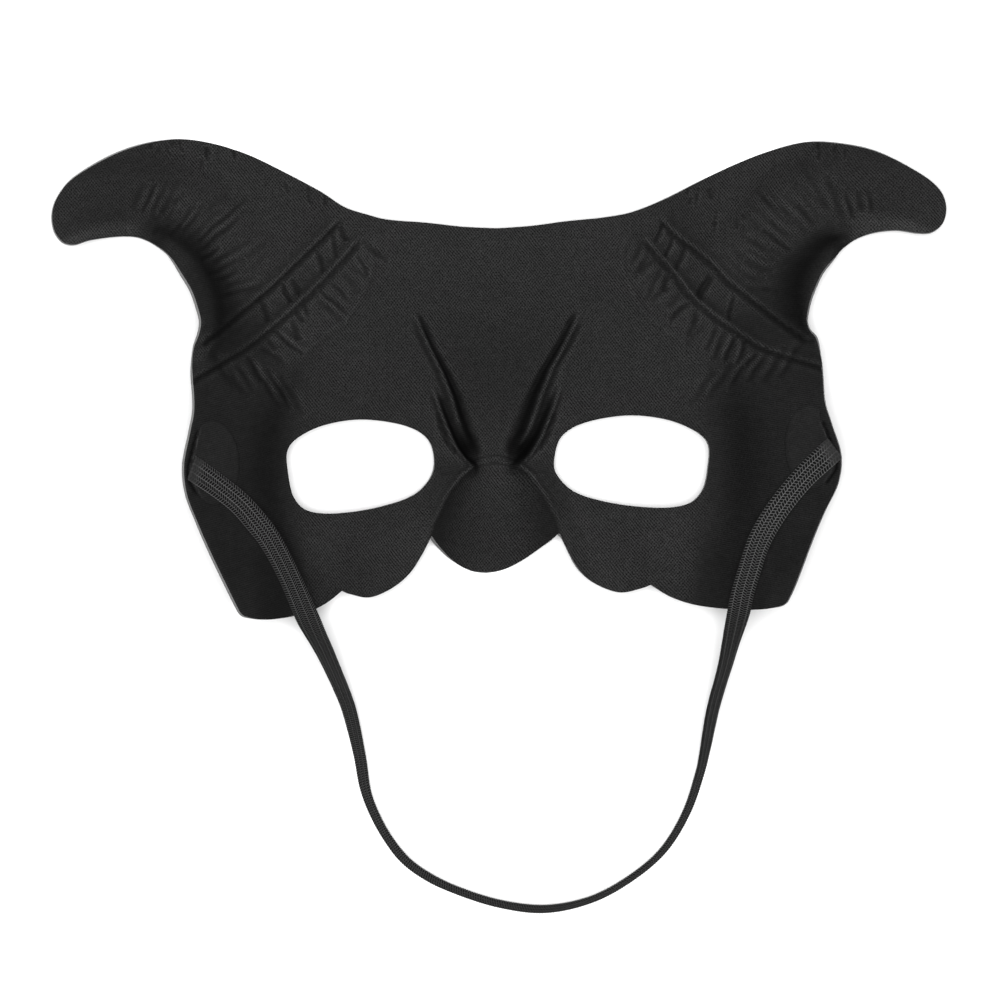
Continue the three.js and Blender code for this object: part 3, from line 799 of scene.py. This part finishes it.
rows, outer_loops = edge_rows()
outer_points, outer_triangles = fill_outline(outer_loops, OUTER_SPACING)
print("outer side:", len(outer_points), "points,", len(outer_triangles), "triangles")

# %% [markdown]
# ## Painted light and shade on the lining
#
# The lining is light thread over black foam. Its colour also carries painted shade and painted light:
# it is darker on steep walls, in grooves, in the slit and the frown's pocket, on the wings and at the
# sides of the nose, and lighter on ridges, on the cheeks and on the lips of the horns. So each vertex
# stores one number, the factor of painted shade and light, and the material multiplies the colour by it.
# It is worked out from the heights, so it follows when the form changes.

# %% Painted shade and light at each point
# Strengths of the painted shade and light on the lining: steep walls, ridges and grooves, and the wings.
STEEP_SHADE = 0.75
RIDGE_LIGHT_AND_SHADE = 0.45
RIDGE_SHARP = 1.3
WING_DARKER = (0.18, 0.26)


def painted_light_and_shade(points, step=0.35):
    """Painted shade and light at each point, a factor on the lining's colour that is 1 on flat cloth.
    Steep walls get painted shade: 1 - strength * (1 - cos slope); the nose is left out of it. Ridges
    get a painted highlight and grooves painted shade: 1 - strength * bend / sharp, where the bend is the
    Laplacian, the sum of four near heights less four times the middle one, over step squared, and in the
    nose only a fifth of this. The nose, the cheeks and the lips of the horns are painted lighter; the
    wings and the sides of the nose are painted darker, and the slit, the frown's pocket and banks darker."""
    x, y = points[:, 0], points[:, 1]
    here = lined_height(x, y)
    left, right = lined_height(x - step, y), lined_height(x + step, y)
    down, up = lined_height(x, y - step), lined_height(x, y + step)
    slope = np.hypot(right - left, up - down) / (2 * step)
    bend = (left + right + down + up - 4 * here) / step**2
    in_nose = smooth(1, -4, y) * (1 - smooth(0, 1.5, np.abs(x) - nose_half_width(y)))
    # Painted shade on steep walls, left out in the nose: the colour is darkened by 1 - strength * (1 - cos
    # slope).
    painted_shade_term = 1 - STEEP_SHADE * (1 - in_nose) * (1 - 1 / np.hypot(1, slope))
    # Painted highlight on ridges and painted shade in grooves, weaker in the nose; the nose and the cheeks
    # are painted lighter.
    ridge_light_and_groove_shade = 1 - RIDGE_LIGHT_AND_SHADE * np.clip(bend / RIDGE_SHARP, -1, 1) * (1 - 0.8 * in_nose)
    cheek = smooth(-8, -26, y) * (1 - smooth(52, 64, np.abs(x))) * (1 - in_nose)
    ridge_light_and_groove_shade = ridge_light_and_groove_shade * (1 + 0.1 * in_nose + 0.22 * cheek)
    # Painted shade on the sides of the nose and on the wings, painted light on the lips of the horns.
    nose_side = in_nose * smooth(0.35, 0.95, np.abs(x) / nose_half_width(y)) * smooth(-2, -14, y)
    wing = smooth(57, 77, np.abs(x)) * smooth(36, 20, y) * by_side(x, WING_DARKER)
    radius, turn = horn_polar(np.abs(x), y)
    horn_lip = smooth(29, 25, radius) * smooth(-14, 0, turn) * (y > 50)
    # Painted shadow in the slit beside each patch, painted shade in the frown's pocket and on the banks of
    # the frown lines.
    recess_shade = (1 - 0.85 * slit_share(x, y)) * (1 - 0.72 * pocket_share(x, y))
    recess_shade = recess_shade * (1 - (0.45 + 0.22 * smooth(13, 7, y)) * bank_share(x, y))
    return painted_shade_term * ridge_light_and_groove_shade * (1 - wing) * (1 - 0.32 * nose_side) * (1 + 0.8 * horn_lip) * recess_shade


places = np.array([[0.0, 55.0], [-85.0, 0.0]])
print("thread shown on the forehead and on the left wing:", painted_light_and_shade(places).round(2))

# %% Put a mesh together
def new_piece(name, points, faces, materials, face_material=None, uv=None, threads_and_painted_shade=None):
    """A smooth mesh object from arrays, in metres. The uv and painted shade arrays have one row per vertex.
    """
    mesh = bpy.data.meshes.new(name)
    mesh.from_pydata(points.tolist(), [], [list(map(int, face)) for face in faces])
    for material in materials:
        mesh.materials.append(material)
    if face_material is not None:
        mesh.polygons.foreach_set("material_index", np.asarray(face_material, np.int32))
    mesh.polygons.foreach_set("use_smooth", np.ones(len(mesh.polygons), bool))
    if uv is not None:
        corner = np.zeros(len(mesh.loops), np.int32)
        mesh.loops.foreach_get("vertex_index", corner)
        layer = mesh.uv_layers.new(name="cloth")
        layer.data.foreach_set("uv", np.asarray(uv, np.float32)[corner].ravel())
    if threads_and_painted_shade is not None:
        layer = mesh.attributes.new("threads_and_painted_shade", "FLOAT", "POINT")
        layer.data.foreach_set("value", np.asarray(threads_and_painted_shade, np.float32))
    mesh.validate()
    mesh.update()
    piece = bpy.data.objects.new(name, mesh)
    bpy.context.scene.collection.objects.link(piece)
    return piece


def band_between(first, second, lengths):
    """Quads between two rows of the same loops, each row given by its first index."""
    quads, start = [], 0
    for length in lengths:
        ring = np.arange(start, start + length)
        after = np.roll(ring, -1)
        quads.append(np.stack([first + ring, second + ring, second + after, first + after], -1))
        start += length
    return np.vstack(quads)


def triangle_count(piece):
    """Triangles of a piece: each face counts as its corners less two."""
    return sum(len(face.vertices) - 2 for face in piece.data.polygons)


print("a band between two rows of 4 points has", len(band_between(0, 4, [4])), "faces")

# %% [markdown]
# ## Materials
#
# Everything on the mask is black, so what tells the materials apart is how they scatter light. The knit
# is fully matt with a grain of tiny stitches, the moulded skin has a soft gloss, the cut foam is grey and
# open-celled, and the braid shows light yarn with dark gaps, which are painted shade. The knit and the
# braid also carry painted shade and light from a value stored at each vertex. Colours are given as sRGB
# hex and turned to linear by one function, and one function adds a node with its settings and links.

# %% Colour and node helpers
MATH = "ShaderNodeMath"
RANGE = "ShaderNodeMapRange"
NOISE = "ShaderNodeTexNoise"
MIX = "ShaderNodeMix"


def linear(hex_colour):
    """sRGB hex to linear RGBA: c/12.92 below 0.04045, else ((c + 0.055)/1.055)^2.4."""
    c = np.array([int(hex_colour[i:i + 2], 16) / 255 for i in (1, 3, 5)])
    rgb = np.where(c <= 0.04045, c / 12.92, ((c + 0.055) / 1.055) ** 2.4)
    return (*rgb.tolist(), 1.0)


def add_node(tree, kind, inputs=(), **settings):
    """Adds a node, sets its properties, then sets each input, by name or in order, to a value or links
    it to a socket. A node given as a value stands for its first output."""
    made = tree.nodes.new(kind)
    for key, value in settings.items():
        setattr(made, key, value)
    for key, value in inputs.items() if isinstance(inputs, dict) else enumerate(inputs):
        source = value.outputs[0] if isinstance(value, bpy.types.Node) else value
        if isinstance(source, bpy.types.NodeSocket):
            tree.links.new(source, made.inputs[key])
        else:
            made.inputs[key].default_value = source
    return made


def new_material(name, roughness, specular):
    """A node material with a Principled shader. Returns the material, its tree and the shader."""
    material = bpy.data.materials.new(name)
    material.use_nodes = True
    tree = material.node_tree
    tree.nodes.clear()
    shader = add_node(tree, "ShaderNodeBsdfPrincipled",
                      {"Roughness": roughness, "Specular IOR Level": specular, "IOR": 1.5})
    add_node(tree, "ShaderNodeOutputMaterial", {"Surface": shader})
    return material, tree, shader


def wave(tree, across, pitch):
    """0.5 + 0.5 cos(2 pi t / pitch): one bright line every pitch."""
    turned = add_node(tree, MATH, (across, 2 * math.pi / pitch), operation="MULTIPLY")
    cosine = add_node(tree, MATH, (turned,), operation="COSINE")
    return add_node(tree, MATH, (cosine, 0.5, 0.5), operation="MULTIPLY_ADD")


print("mid grey is", round(linear("#808080")[0], 3), "in linear light")

# %% Knitted lining
THREAD_PITCH = 0.69
THREAD_TURN = 39.0
COURSE_PITCH = 0.6
COURSE_LEAN = 0.25
PULL_SCALE = 0.09
CLOUD_SCALE = 0.11
WEAR_SCALE = 0.5
FIBRE_SCALE = 2.4


def knit_pattern(tree, pitch, turn, flat):
    """Two families of thin slanted lines whose normals stand at +turn and -turn degrees from x. Where
    they cross, the loops show as dots. A slow noise shifts the balance between them, as it does where a
    knit is pulled one way or the other. Where the cloth is not flat but drawn, only its level courses
    stay visible. The cloth coordinates are in mm, and so is the pitch."""
    cloth = add_node(tree, "ShaderNodeUVMap", uv_map="cloth")
    pull = add_node(tree, NOISE, {"Vector": cloth, "Scale": PULL_SCALE, "Detail": 2.0})
    split = add_node(tree, "ShaderNodeSeparateXYZ", (cloth,))
    u = add_node(tree, MATH, (pull, pitch * 2, split), operation="MULTIPLY_ADD")
    share = add_node(tree, RANGE, (pull, 0.35, 0.65, 0.45, 0.85))
    c, s = math.cos(math.radians(turn)), math.sin(math.radians(turn))
    along_u = add_node(tree, MATH, (u, c), operation="MULTIPLY")
    slants = [add_node(tree, MATH, (split.outputs[1], side * s, along_u), operation="MULTIPLY_ADD")
              for side in (1, -1)]
    first, second = (wave(tree, slant, pitch) for slant in slants)
    crossed = add_node(tree, MIX, {0: share, 2: second, 3: first}, data_type="FLOAT")
    from_middle_line = add_node(tree, MATH, (split,), operation="ABSOLUTE")
    level = add_node(tree, MATH, (from_middle_line, COURSE_LEAN, split.outputs[1]), operation="MULTIPLY_ADD")
    courses = add_node(tree, MATH, (wave(tree, level, COURSE_PITCH), 0.5, 0.25), operation="MULTIPLY_ADD")
    return cloth, add_node(tree, MIX, {0: flat, 2: courses, 3: crossed}, data_type="FLOAT")


def knitted(name, pitch, turn, dark, light, depth):
    """Matt knit. Threads are the light colour and gaps the dark one, fibres make both uneven, and the
    painted shade and light stored at each vertex darken or lighten them."""
    material, tree, shader = new_material(name, 0.95, 0.06)
    painted_shade = add_node(tree, "ShaderNodeAttribute", attribute_name="threads_and_painted_shade").outputs["Fac"]
    flat = add_node(tree, RANGE, (painted_shade, 0.75, 0.95))
    cloth, threads_and_painted_shade = knit_pattern(tree, pitch, turn, flat)
    fibre = add_node(tree, NOISE, {"Vector": cloth, "Scale": FIBRE_SCALE, "Detail": 4.0})
    grain = add_node(tree, RANGE, (fibre, 0.25, 0.75, -0.55, 0.55))
    less_when_drawn = add_node(tree, MATH, (flat, 0.5, 0.5), operation="MULTIPLY_ADD")
    grain = add_node(tree, MATH, (grain, less_when_drawn), operation="MULTIPLY")
    thread_share = add_node(tree, MATH, (threads_and_painted_shade, 0.8, 0.1), operation="MULTIPLY_ADD")
    share = add_node(tree, MATH, (thread_share, grain), operation="ADD")
    cloud = add_node(tree, NOISE, {"Vector": cloth, "Scale": CLOUD_SCALE, "Detail": 3.0})
    wear = add_node(tree, NOISE, {"Vector": cloth, "Scale": WEAR_SCALE, "Detail": 4.0})
    tone = add_node(tree, RANGE, (cloud, 0.3, 0.7, 0.94, 1.06))
    mottle = add_node(tree, RANGE, (wear, 0.3, 0.7, 0.86, 1.14))
    tone = add_node(tree, MATH, (tone, mottle), operation="MULTIPLY")
    # Painted shade and light: the stored factor, times a slow random tone, multiplies the colour.
    shade = add_node(tree, MATH, (painted_shade, tone), operation="MULTIPLY")
    colour = add_node(tree, MIX, {0: share, 6: linear(dark), 7: linear(light)}, data_type="RGBA")
    toned = add_node(tree, MIX, {0: 1.0, 6: colour.outputs[2], 7: shade}, data_type="RGBA",
                     blend_type="MULTIPLY")
    tree.links.new(toned.outputs[2], shader.inputs["Base Color"])
    bump = add_node(tree, "ShaderNodeBump", {"Strength": 0.4, "Distance": depth, "Height": share})
    tree.links.new(bump.outputs[0], shader.inputs["Normal"])
    return material


lining_knit = knitted("knitted_polyester_lining", THREAD_PITCH, THREAD_TURN, "#070707", "#2e2e2e", 0.0001)
patch_knit = knitted("knitted_polyester_patch", 1.3, 5, "#101010", "#313131", 0.00005)

# %% [markdown]
# ## Foam and skin
#
# The shell shows two faces of one foam. Where the knife went through it, open cells scatter the light and
# look grey. Where the hot mould touched it, the cells melted shut into a dark skin. The same cell pattern
# serves both at two sizes, and its scale is cells per metre because it reads object coordinates.

# %% Foam core and moulded skin
CELLS_PER_METRE = 3300.0
PEBBLES_PER_METRE = 1600.0
GLOSS_CLOUDS_PER_METRE = 40.0


def foam_core():
    """EVA foam, cut open: grey and dull, with cells of about 0.3 mm that darken and pit it."""
    material, tree, shader = new_material("eva_foam_cut", 0.9, 0.3)
    place = add_node(tree, "ShaderNodeTexCoord").outputs["Object"]
    cells = add_node(tree, "ShaderNodeTexVoronoi", {"Vector": place, "Scale": CELLS_PER_METRE})
    pitted = cells.outputs["Distance"]
    colour = add_node(tree, MIX, {0: pitted, 6: linear("#6e6e6e"), 7: linear("#8c8c8c")}, data_type="RGBA")
    tree.links.new(colour.outputs[2], shader.inputs["Base Color"])
    bump = add_node(tree, "ShaderNodeBump", {"Strength": 0.4, "Distance": 0.0001, "Height": pitted})
    tree.links.new(bump.outputs[0], shader.inputs["Normal"])
    return material


def moulded_skin():
    """Black foam with a skin closed by the hot mould: a fine pebble grain of 0.6 mm and a soft gloss
    that is broken by slightly duller clouds."""
    material, tree, shader = new_material("moulded_black_foam_skin", 0.55, 0.4)
    place = add_node(tree, "ShaderNodeTexCoord").outputs["Object"]
    pebbles = add_node(tree, "ShaderNodeTexVoronoi", {"Vector": place, "Scale": PEBBLES_PER_METRE})
    cloud = add_node(tree, NOISE, {"Vector": place, "Scale": GLOSS_CLOUDS_PER_METRE, "Detail": 4.0})
    gloss = add_node(tree, RANGE, (cloud, 0.3, 0.7, 0.48, 0.64))
    colour = add_node(tree, MIX, {0: cloud, 6: linear("#161616"), 7: linear("#222222")}, data_type="RGBA")
    tree.links.new(gloss.outputs[0], shader.inputs["Roughness"])
    tree.links.new(colour.outputs[2], shader.inputs["Base Color"])
    bump = add_node(tree, "ShaderNodeBump", {"Strength": 0.35, "Distance": 0.0001,
                                             "Height": pebbles.outputs["Distance"]})
    tree.links.new(bump.outputs[0], shader.inputs["Normal"])
    return material


core_foam, outer_skin = foam_core(), moulded_skin()
print("materials:", sorted(m.name for m in bpy.data.materials))

# %% Join the bands into the mask
def build_mask():
    """The lined points, five edge rows and the outer points, with the bands between them."""
    lengths = [len(loop) for loop in LOOPS]
    inner = np.column_stack([lined_points, lined_height(*lined_points.T)])
    outer = np.column_stack([outer_points, outer_height(*outer_points.T)])
    points = np.vstack([inner, *rows, outer])
    firsts = [0, *(len(inner) + k * sum(lengths) for k in range(len(rows)))]
    firsts.append(len(inner) + len(rows) * sum(lengths))
    bands = [band_between(a, b, lengths) for a, b in zip(firsts[:-1], firsts[1:])]
    kinds = [0, 0, 0, 1, 2, 2]
    faces = [*lined_triangles.tolist()]
    kind = [0] * len(faces)
    for band, value in zip(bands, kinds):
        faces += band.tolist()
        kind += [value] * len(band)
    under = (outer_triangles[:, ::-1] + firsts[-1]).tolist()
    faces += under
    kind += [2] * len(under)
    placed = on_table(points)
    placed[:, 2] = np.maximum(placed[:, 2], 0)
    made = [lining_knit, core_foam, outer_skin]
    return new_piece("mask_of_lined_foam", placed, faces, made, kind, points[:, :2], painted_light_and_shade(points))


mask = build_mask()
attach(mask, "root")
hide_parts("mask_shell")
print("mask:", len(mask.data.vertices), "points,", triangle_count(mask), "triangles")

# %% [markdown]
# ## Patches
#
# Each patch is a round piece of the same knit, cut off on its outer side along a short slit in the
# lining. The elastic ends over it. It is built as rings round a middle point: the rings give the outline,
# the height of the lining gives the form, and the last rings roll the thin edge down.

# %% Two round patches
PATCH_LEFT = {"x": 83.2, "y": 1.5, "half_width": 7.4, "half_height": 11.8}
PATCH_RIGHT = {"x": 84.6, "y": 3.2, "half_width": 6.3, "half_height": 11.9}
PATCH_GAP = 0.5
PATCH_LIFT = 0.32
PATCH_THICK = 0.5
PATCH_SPOKES = 160
PATCH_RINGS = 26


def patch_rim(patch, turn):
    """The patch outline round its middle: an ellipse whose outer side is held just inside the slit."""
    x = patch["half_width"] * np.cos(turn)
    y = patch["half_height"] * np.sin(turn)
    slit = np.array(SLIT)[::-1]
    cut_off = np.interp(y + patch["y"], slit[:, 1], slit[:, 0]) - patch["x"] - PATCH_GAP
    return np.stack([np.minimum(x, cut_off), y], -1)


def patch_lift(side, y):
    """How far the cloth stands off the lining: its bed of glue, thicker under the elastic's end."""
    return PATCH_LIFT + 0.35 * hill(y + 0.4, 4.2) * smooth(74, 79, side)


def build_patch(patch, sign, name):
    """Rings on top, an edge that rolls down, and the same rings beneath."""
    turn = np.linspace(0, 2 * math.pi, PATCH_SPOKES, endpoint=False)
    rim = patch_rim(patch, turn)
    shares = np.linspace(0, 1, PATCH_RINGS + 1)[1:] ** 0.8
    edges = PATCH_THICK * (1 - 0.7 * smooth(0.93, 1.0, shares))
    levels = [*zip(shares, edges), *((share, 0.0) for share in shares[::-1])]
    rows = []
    for share, edge in levels:
        flat = rim * share + [patch["x"], patch["y"]]
        lift = patch_lift(*flat.T) + edge
        x = sign * flat[:, 0]
        stood = lined_height(x, flat[:, 1]) + lift * stretch_along_z(x, flat[:, 1])
        rows.append(np.column_stack([x, flat[:, 1], stood]))
    middle = np.array([[sign * patch["x"], patch["y"]]])
    tilt = stretch_along_z(*middle.T)
    lift = patch_lift(np.abs(middle[:, 0]), middle[:, 1])
    base = lined_height(*middle.T)
    top = np.column_stack([middle, base + (lift + PATCH_THICK) * tilt])
    bottom = np.column_stack([middle, base + lift * tilt])
    points = np.vstack([top, *rows, bottom])
    ring = np.arange(PATCH_SPOKES)
    after = np.roll(ring, -1)
    faces = np.column_stack([np.zeros_like(ring), 1 + ring, 1 + after]).tolist()
    for number in range(len(rows) - 1):
        first = 1 + number * PATCH_SPOKES
        second = first + PATCH_SPOKES
        faces += np.stack([first + ring, second + ring, second + after, first + after], -1).tolist()
    last = 1 + (len(rows) - 1) * PATCH_SPOKES
    faces += np.column_stack([np.full_like(ring, len(points) - 1), last + after, last + ring]).tolist()
    if sign < 0:
        faces = [face[::-1] for face in faces]
    made = new_piece(name, on_table(points), faces, [patch_knit], uv=points[:, :2],
                     threads_and_painted_shade=painted_light_and_shade(points))
    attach(made, "root")
    return made


patches = {"strap_patch_left": build_patch(PATCH_LEFT, -1, "patch_of_knit_left"),
           "strap_patch_right": build_patch(PATCH_RIGHT, 1, "patch_of_knit_right")}
for node, patch in patches.items():
    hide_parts(node)
    print(node, "replaced, lowest point", round(min(v.co.z for v in patch.data.vertices), 4))

# %% [markdown]
# ## Braided elastic
#
# Flat elastic of this kind is braided round rubber cores. It shows three ribs, each made of two rows of
# slanted stitches that meet like the barbs of a feather, and small holes stay open between the stitches.
# The ribbon's height is a wave that slants one way in one row and the other way in the next, and the
# ribbon is carried along the path by three directions: along it, across it and out of its face.

# %% Braid surface
RIBS = 3
PITCH_TIGHT = 0.97
PITCH_LOOSE = 0.79
TIGHT_REACH = (22, 42)
STITCH_SLANT = 0.5
STITCH_RISE = 0.2
PRESSED = 0.45
PRESSED_REACH = 13
ACROSS_COUNT = {1: 25, -1: 19}
PER_STITCH = 4
FADE_NEAR, FADE_FAR = 0.5, 5.0
FUZZ_SCALE = 4.0


def from_end(along):
    """Distance to the nearer end of the elastic, in mm."""
    return np.minimum(along, STRAP_LENGTH / MM - along)


def stitch_numbers(along):
    """Stitches counted from the first end. Near the patches the elastic is drawn and its stitches are
    longer, so the count is the running sum of step / pitch."""
    away = smooth(*TIGHT_REACH, from_end(along))
    pitch = PITCH_TIGHT + (PITCH_LOOSE - PITCH_TIGHT) * away
    return np.concatenate([[0], np.cumsum(np.diff(along) / (0.5 * (pitch[1:] + pitch[:-1])))])


def braid_relief(stitch, fade, across):
    """Height in mm, 0 or less. across runs from -1 to 1 over the width. Each half rib has its own
    slant: the wave's phase moves with the distance from the rib's spine, and the halves alternate."""
    rib = (across + 1) / 2 * RIBS
    inside = rib - np.clip(np.floor(rib), 0, RIBS - 1)
    from_spine = np.abs(inside - 0.5) * 2
    body = np.sqrt(np.clip(1 - (0.92 * from_spine) ** 4, 0, 1))
    phase = 2 * math.pi * (stitch + STITCH_SLANT * from_spine + 0.5 * (inside > 0.5))
    wave_here = 0.5 + 0.5 * np.cos(phase)
    row = np.sin(math.pi * np.clip(from_spine, 0, 1))
    return 0.24 * (body - 1) * (0.5 + 0.5 * fade) + STITCH_RISE * (wave_here - 1) * row * fade


def ribbon_frame(path):
    """Unit vectors across the ribbon and out of its face at each station. The loop's outward side is
    the direction along the path crossed with up, and the face is turned by the station's lean."""
    step = np.gradient(path[:, :3], axis=0)
    forward = step / np.linalg.norm(step, axis=1)[:, None]
    outward = np.cross(forward, [0, 0, 1])
    outward /= np.linalg.norm(outward, axis=1)[:, None]
    facing = np.cross(outward, forward)
    lean = np.radians(path[:, 3])[:, None]
    normal = outward * np.sin(lean) + facing * np.cos(lean)
    return np.cross(normal, forward), normal


def build_braid():
    """A closed tube with a flat section: face, two rounded edges and back. The back shows less, so it has
    fewer points across. Near its ends the elastic is a little wider and smoother, as if flattened, and
    every stitch leaves a shallow notch in both edges."""
    stations = int(STRAP_LENGTH / MM / PITCH_LOOSE * PER_STITCH)
    path, distance = at_even_steps(strap_curve, stations)
    across, normal = ribbon_frame(path)
    along = distance / MM
    stitch = stitch_numbers(along)
    fade = 0.3 + 0.7 * smooth(FADE_NEAR, FADE_FAR, from_end(along))
    half_width = STRAP_WIDTH / MM / 2 + PRESSED * hill(from_end(along), PRESSED_REACH)
    half_thick = STRAP_THICK / MM / 2
    offsets = []
    for side in (1, -1):
        for place in np.linspace(-side, side, ACROSS_COUNT[side]):
            rim = math.sqrt(max(0.0, 1 - abs(place) ** 6))
            relief = braid_relief(stitch, fade, np.full(along.shape, place))
            notch = 1 + 0.022 * np.cos(2 * math.pi * (stitch + STITCH_SLANT)) * fade * abs(place) ** 8
            level = side * (half_thick * (0.35 + 0.65 * rim) + relief * (0.4 + 0.6 * rim))
            offsets.append((place * half_width * notch, level, np.full(along.shape, place)))
    out, level, places = (np.stack(column, -1) for column in zip(*offsets))
    points = path[:, None, :3] + MM * (out[..., None] * across[:, None] + level[..., None] * normal[:, None])
    around = out.shape[1]
    uv = np.stack([np.repeat(stitch[:, None], around, 1), places], -1).reshape(-1, 2)
    grid = np.arange(stations * around).reshape(stations, around)
    after = np.roll(grid, -1, axis=1)
    quads = np.stack([grid[:-1], after[:-1], after[1:], grid[1:]], -1).reshape(-1, 4)
    faces = quads.tolist() + [grid[0, ::-1].tolist(), grid[-1].tolist()]
    # Stored for the material: the fade of the holes near the ends, plus how free the elastic hangs, which
    # sets the painted light and shade of its seams.
    free = smooth(*TIGHT_REACH, from_end(along))
    threads_and_painted_shade = np.repeat(fade + free, around)
    return new_piece("braided_elastic", points.reshape(-1, 3), faces, [braid_yarn], uv=uv, threads_and_painted_shade=threads_and_painted_shade)


def braid_material():
    """Polyester yarn over rubber cores. Light slanted stitches with near black holes between them, the
    black being painted shade. Two ribs meet in a line with a painted highlight where the elastic is drawn
    tight near its ends and painted shade where it hangs free. The stored value is 0.3 to 1 from the
    flattened end to open stitches, and 1 to 2 from tight to free. Towards the ends the holes fade and the
    yarn is darker."""
    material, tree, shader = new_material("braided_polyester_elastic", 0.8, 0.1)
    cloth = add_node(tree, "ShaderNodeUVMap", uv_map="cloth")
    split = add_node(tree, "ShaderNodeSeparateXYZ", (cloth,))
    value = add_node(tree, "ShaderNodeAttribute", attribute_name="threads_and_painted_shade").outputs["Fac"]
    fade = add_node(tree, MATH, (value, 1.0), operation="MINIMUM")
    over = add_node(tree, MATH, (value, 1.0), operation="SUBTRACT")
    free = add_node(tree, MATH, (over, 0.0), operation="MAXIMUM")
    rib = add_node(tree, MATH, (split.outputs[1], RIBS / 2, RIBS / 2), operation="MULTIPLY_ADD")
    inside = add_node(tree, MATH, (rib,), operation="FRACT")
    off_middle = add_node(tree, MATH, (inside, 0.5), operation="SUBTRACT")
    folded = add_node(tree, MATH, (off_middle,), operation="ABSOLUTE")
    from_spine = add_node(tree, MATH, (folded, 2.0), operation="MULTIPLY")
    slid = add_node(tree, MATH, (from_spine, STITCH_SLANT, split), operation="MULTIPLY_ADD")
    second_half = add_node(tree, MATH, (inside, 0.5), operation="GREATER_THAN")
    slid = add_node(tree, MATH, (second_half, 0.5, slid), operation="MULTIPLY_ADD")
    gap = add_node(tree, MATH, (1.0, wave(tree, slid, 1.0)), operation="SUBTRACT")
    half_turn = add_node(tree, MATH, (from_spine, math.pi), operation="MULTIPLY")
    row = add_node(tree, MATH, (half_turn,), operation="SINE")
    painted_shade_term = add_node(tree, MATH, (gap, row), operation="MULTIPLY")
    # The near black of the holes between stitches is painted shade.
    hole = add_node(tree, RANGE, (painted_shade_term, 0.03, 0.2))
    hole = add_node(tree, MATH, (hole, fade), operation="MULTIPLY")
    # Painted highlight on the seam between ribs where the elastic is tight, painted shade where it hangs
    # free.
    seam = add_node(tree, RANGE, (from_spine, 0.78, 0.95))
    seam_light_and_shade = add_node(tree, RANGE, (free, 0.0, 1.0, 0.5, -0.6))
    seam_light = add_node(tree, MATH, (seam, seam_light_and_shade, 1.0), operation="MULTIPLY_ADD")
    end_light = add_node(tree, MATH, (fade, 0.9, 0.1), operation="MULTIPLY_ADD")
    fuzz = add_node(tree, NOISE, {"Vector": cloth, "Scale": FUZZ_SCALE, "Detail": 3.0})
    light = add_node(tree, RANGE, (fuzz, 0.3, 0.7, 0.7, 1.3))
    light = add_node(tree, MATH, (light, seam_light), operation="MULTIPLY")
    light = add_node(tree, MATH, (light, end_light), operation="MULTIPLY")
    yarn = add_node(tree, MIX, {0: hole, 6: linear("#454545"), 7: linear("#030303")}, data_type="RGBA")
    toned = add_node(tree, MIX, {0: 1.0, 6: yarn.outputs[2], 7: light}, data_type="RGBA",
                     blend_type="MULTIPLY")
    tree.links.new(toned.outputs[2], shader.inputs["Base Color"])
    return material


braid_yarn = braid_material()
braid = build_braid()
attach(braid, "root")
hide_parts("elastic_strap")
print("braid:", triangle_count(braid), "triangles")

# %% [markdown]
# ## Floor and light
#
# The picture was a product shot on pure white: a bright paper ground and one very large soft light from
# the camera's side. With light from there, a surface looks darker the steeper it stands, which is what
# draws the frown lines and the nose. The view transform is set to Standard so that white paper is white.
# Part of that darkening is painted: the lining's colour carries painted shade on steep walls, in grooves and
# in pockets.

# %% White ground, soft frontal light
GROUND_HALF = 3.0
SOFTBOX = {"direction": (-0.12, -0.03, 1.0), "distance": 1.6, "size": 0.35, "power": 42.0}
AIR_STRENGTH = 0.12


def paper_ground():
    """A large square of matt white paper on the table."""
    material, tree, shader = new_material("white_paper", 0.9, 0.2)
    shader.inputs["Base Color"].default_value = linear("#f4f4f4")
    corners = GROUND_HALF * np.array([(-1, -1, 0), (1, -1, 0), (1, 1, 0), (-1, 1, 0)])
    return new_piece("paper_ground", corners, [[0, 1, 2, 3]], [material])


def soft_light(name, direction, distance, size, power):
    """A square area light that faces the middle of the mask from a direction in the face frame."""
    data = bpy.data.lights.new(name, "AREA")
    data.energy = power
    data.size = size
    lamp = bpy.data.objects.new(name, data)
    bpy.context.scene.collection.objects.link(lamp)
    away = Vector(turned_to_table(np.array(direction) / np.linalg.norm(direction)))
    lamp.location = away * distance
    lamp.rotation_euler = away.to_track_quat("Z", "Y").to_euler()
    return lamp


ground = paper_ground()
lamps = [soft_light("large_softbox", **SOFTBOX)]
world = bpy.data.worlds.new("studio_air")
bpy.context.scene.world = world
world.use_nodes = True
world.node_tree.nodes["Background"].inputs["Color"].default_value = linear("#ffffff")
world.node_tree.nodes["Background"].inputs["Strength"].default_value = AIR_STRENGTH
bpy.context.scene.view_settings.view_transform = "Standard"
print("stage set with", len(lamps), "light")
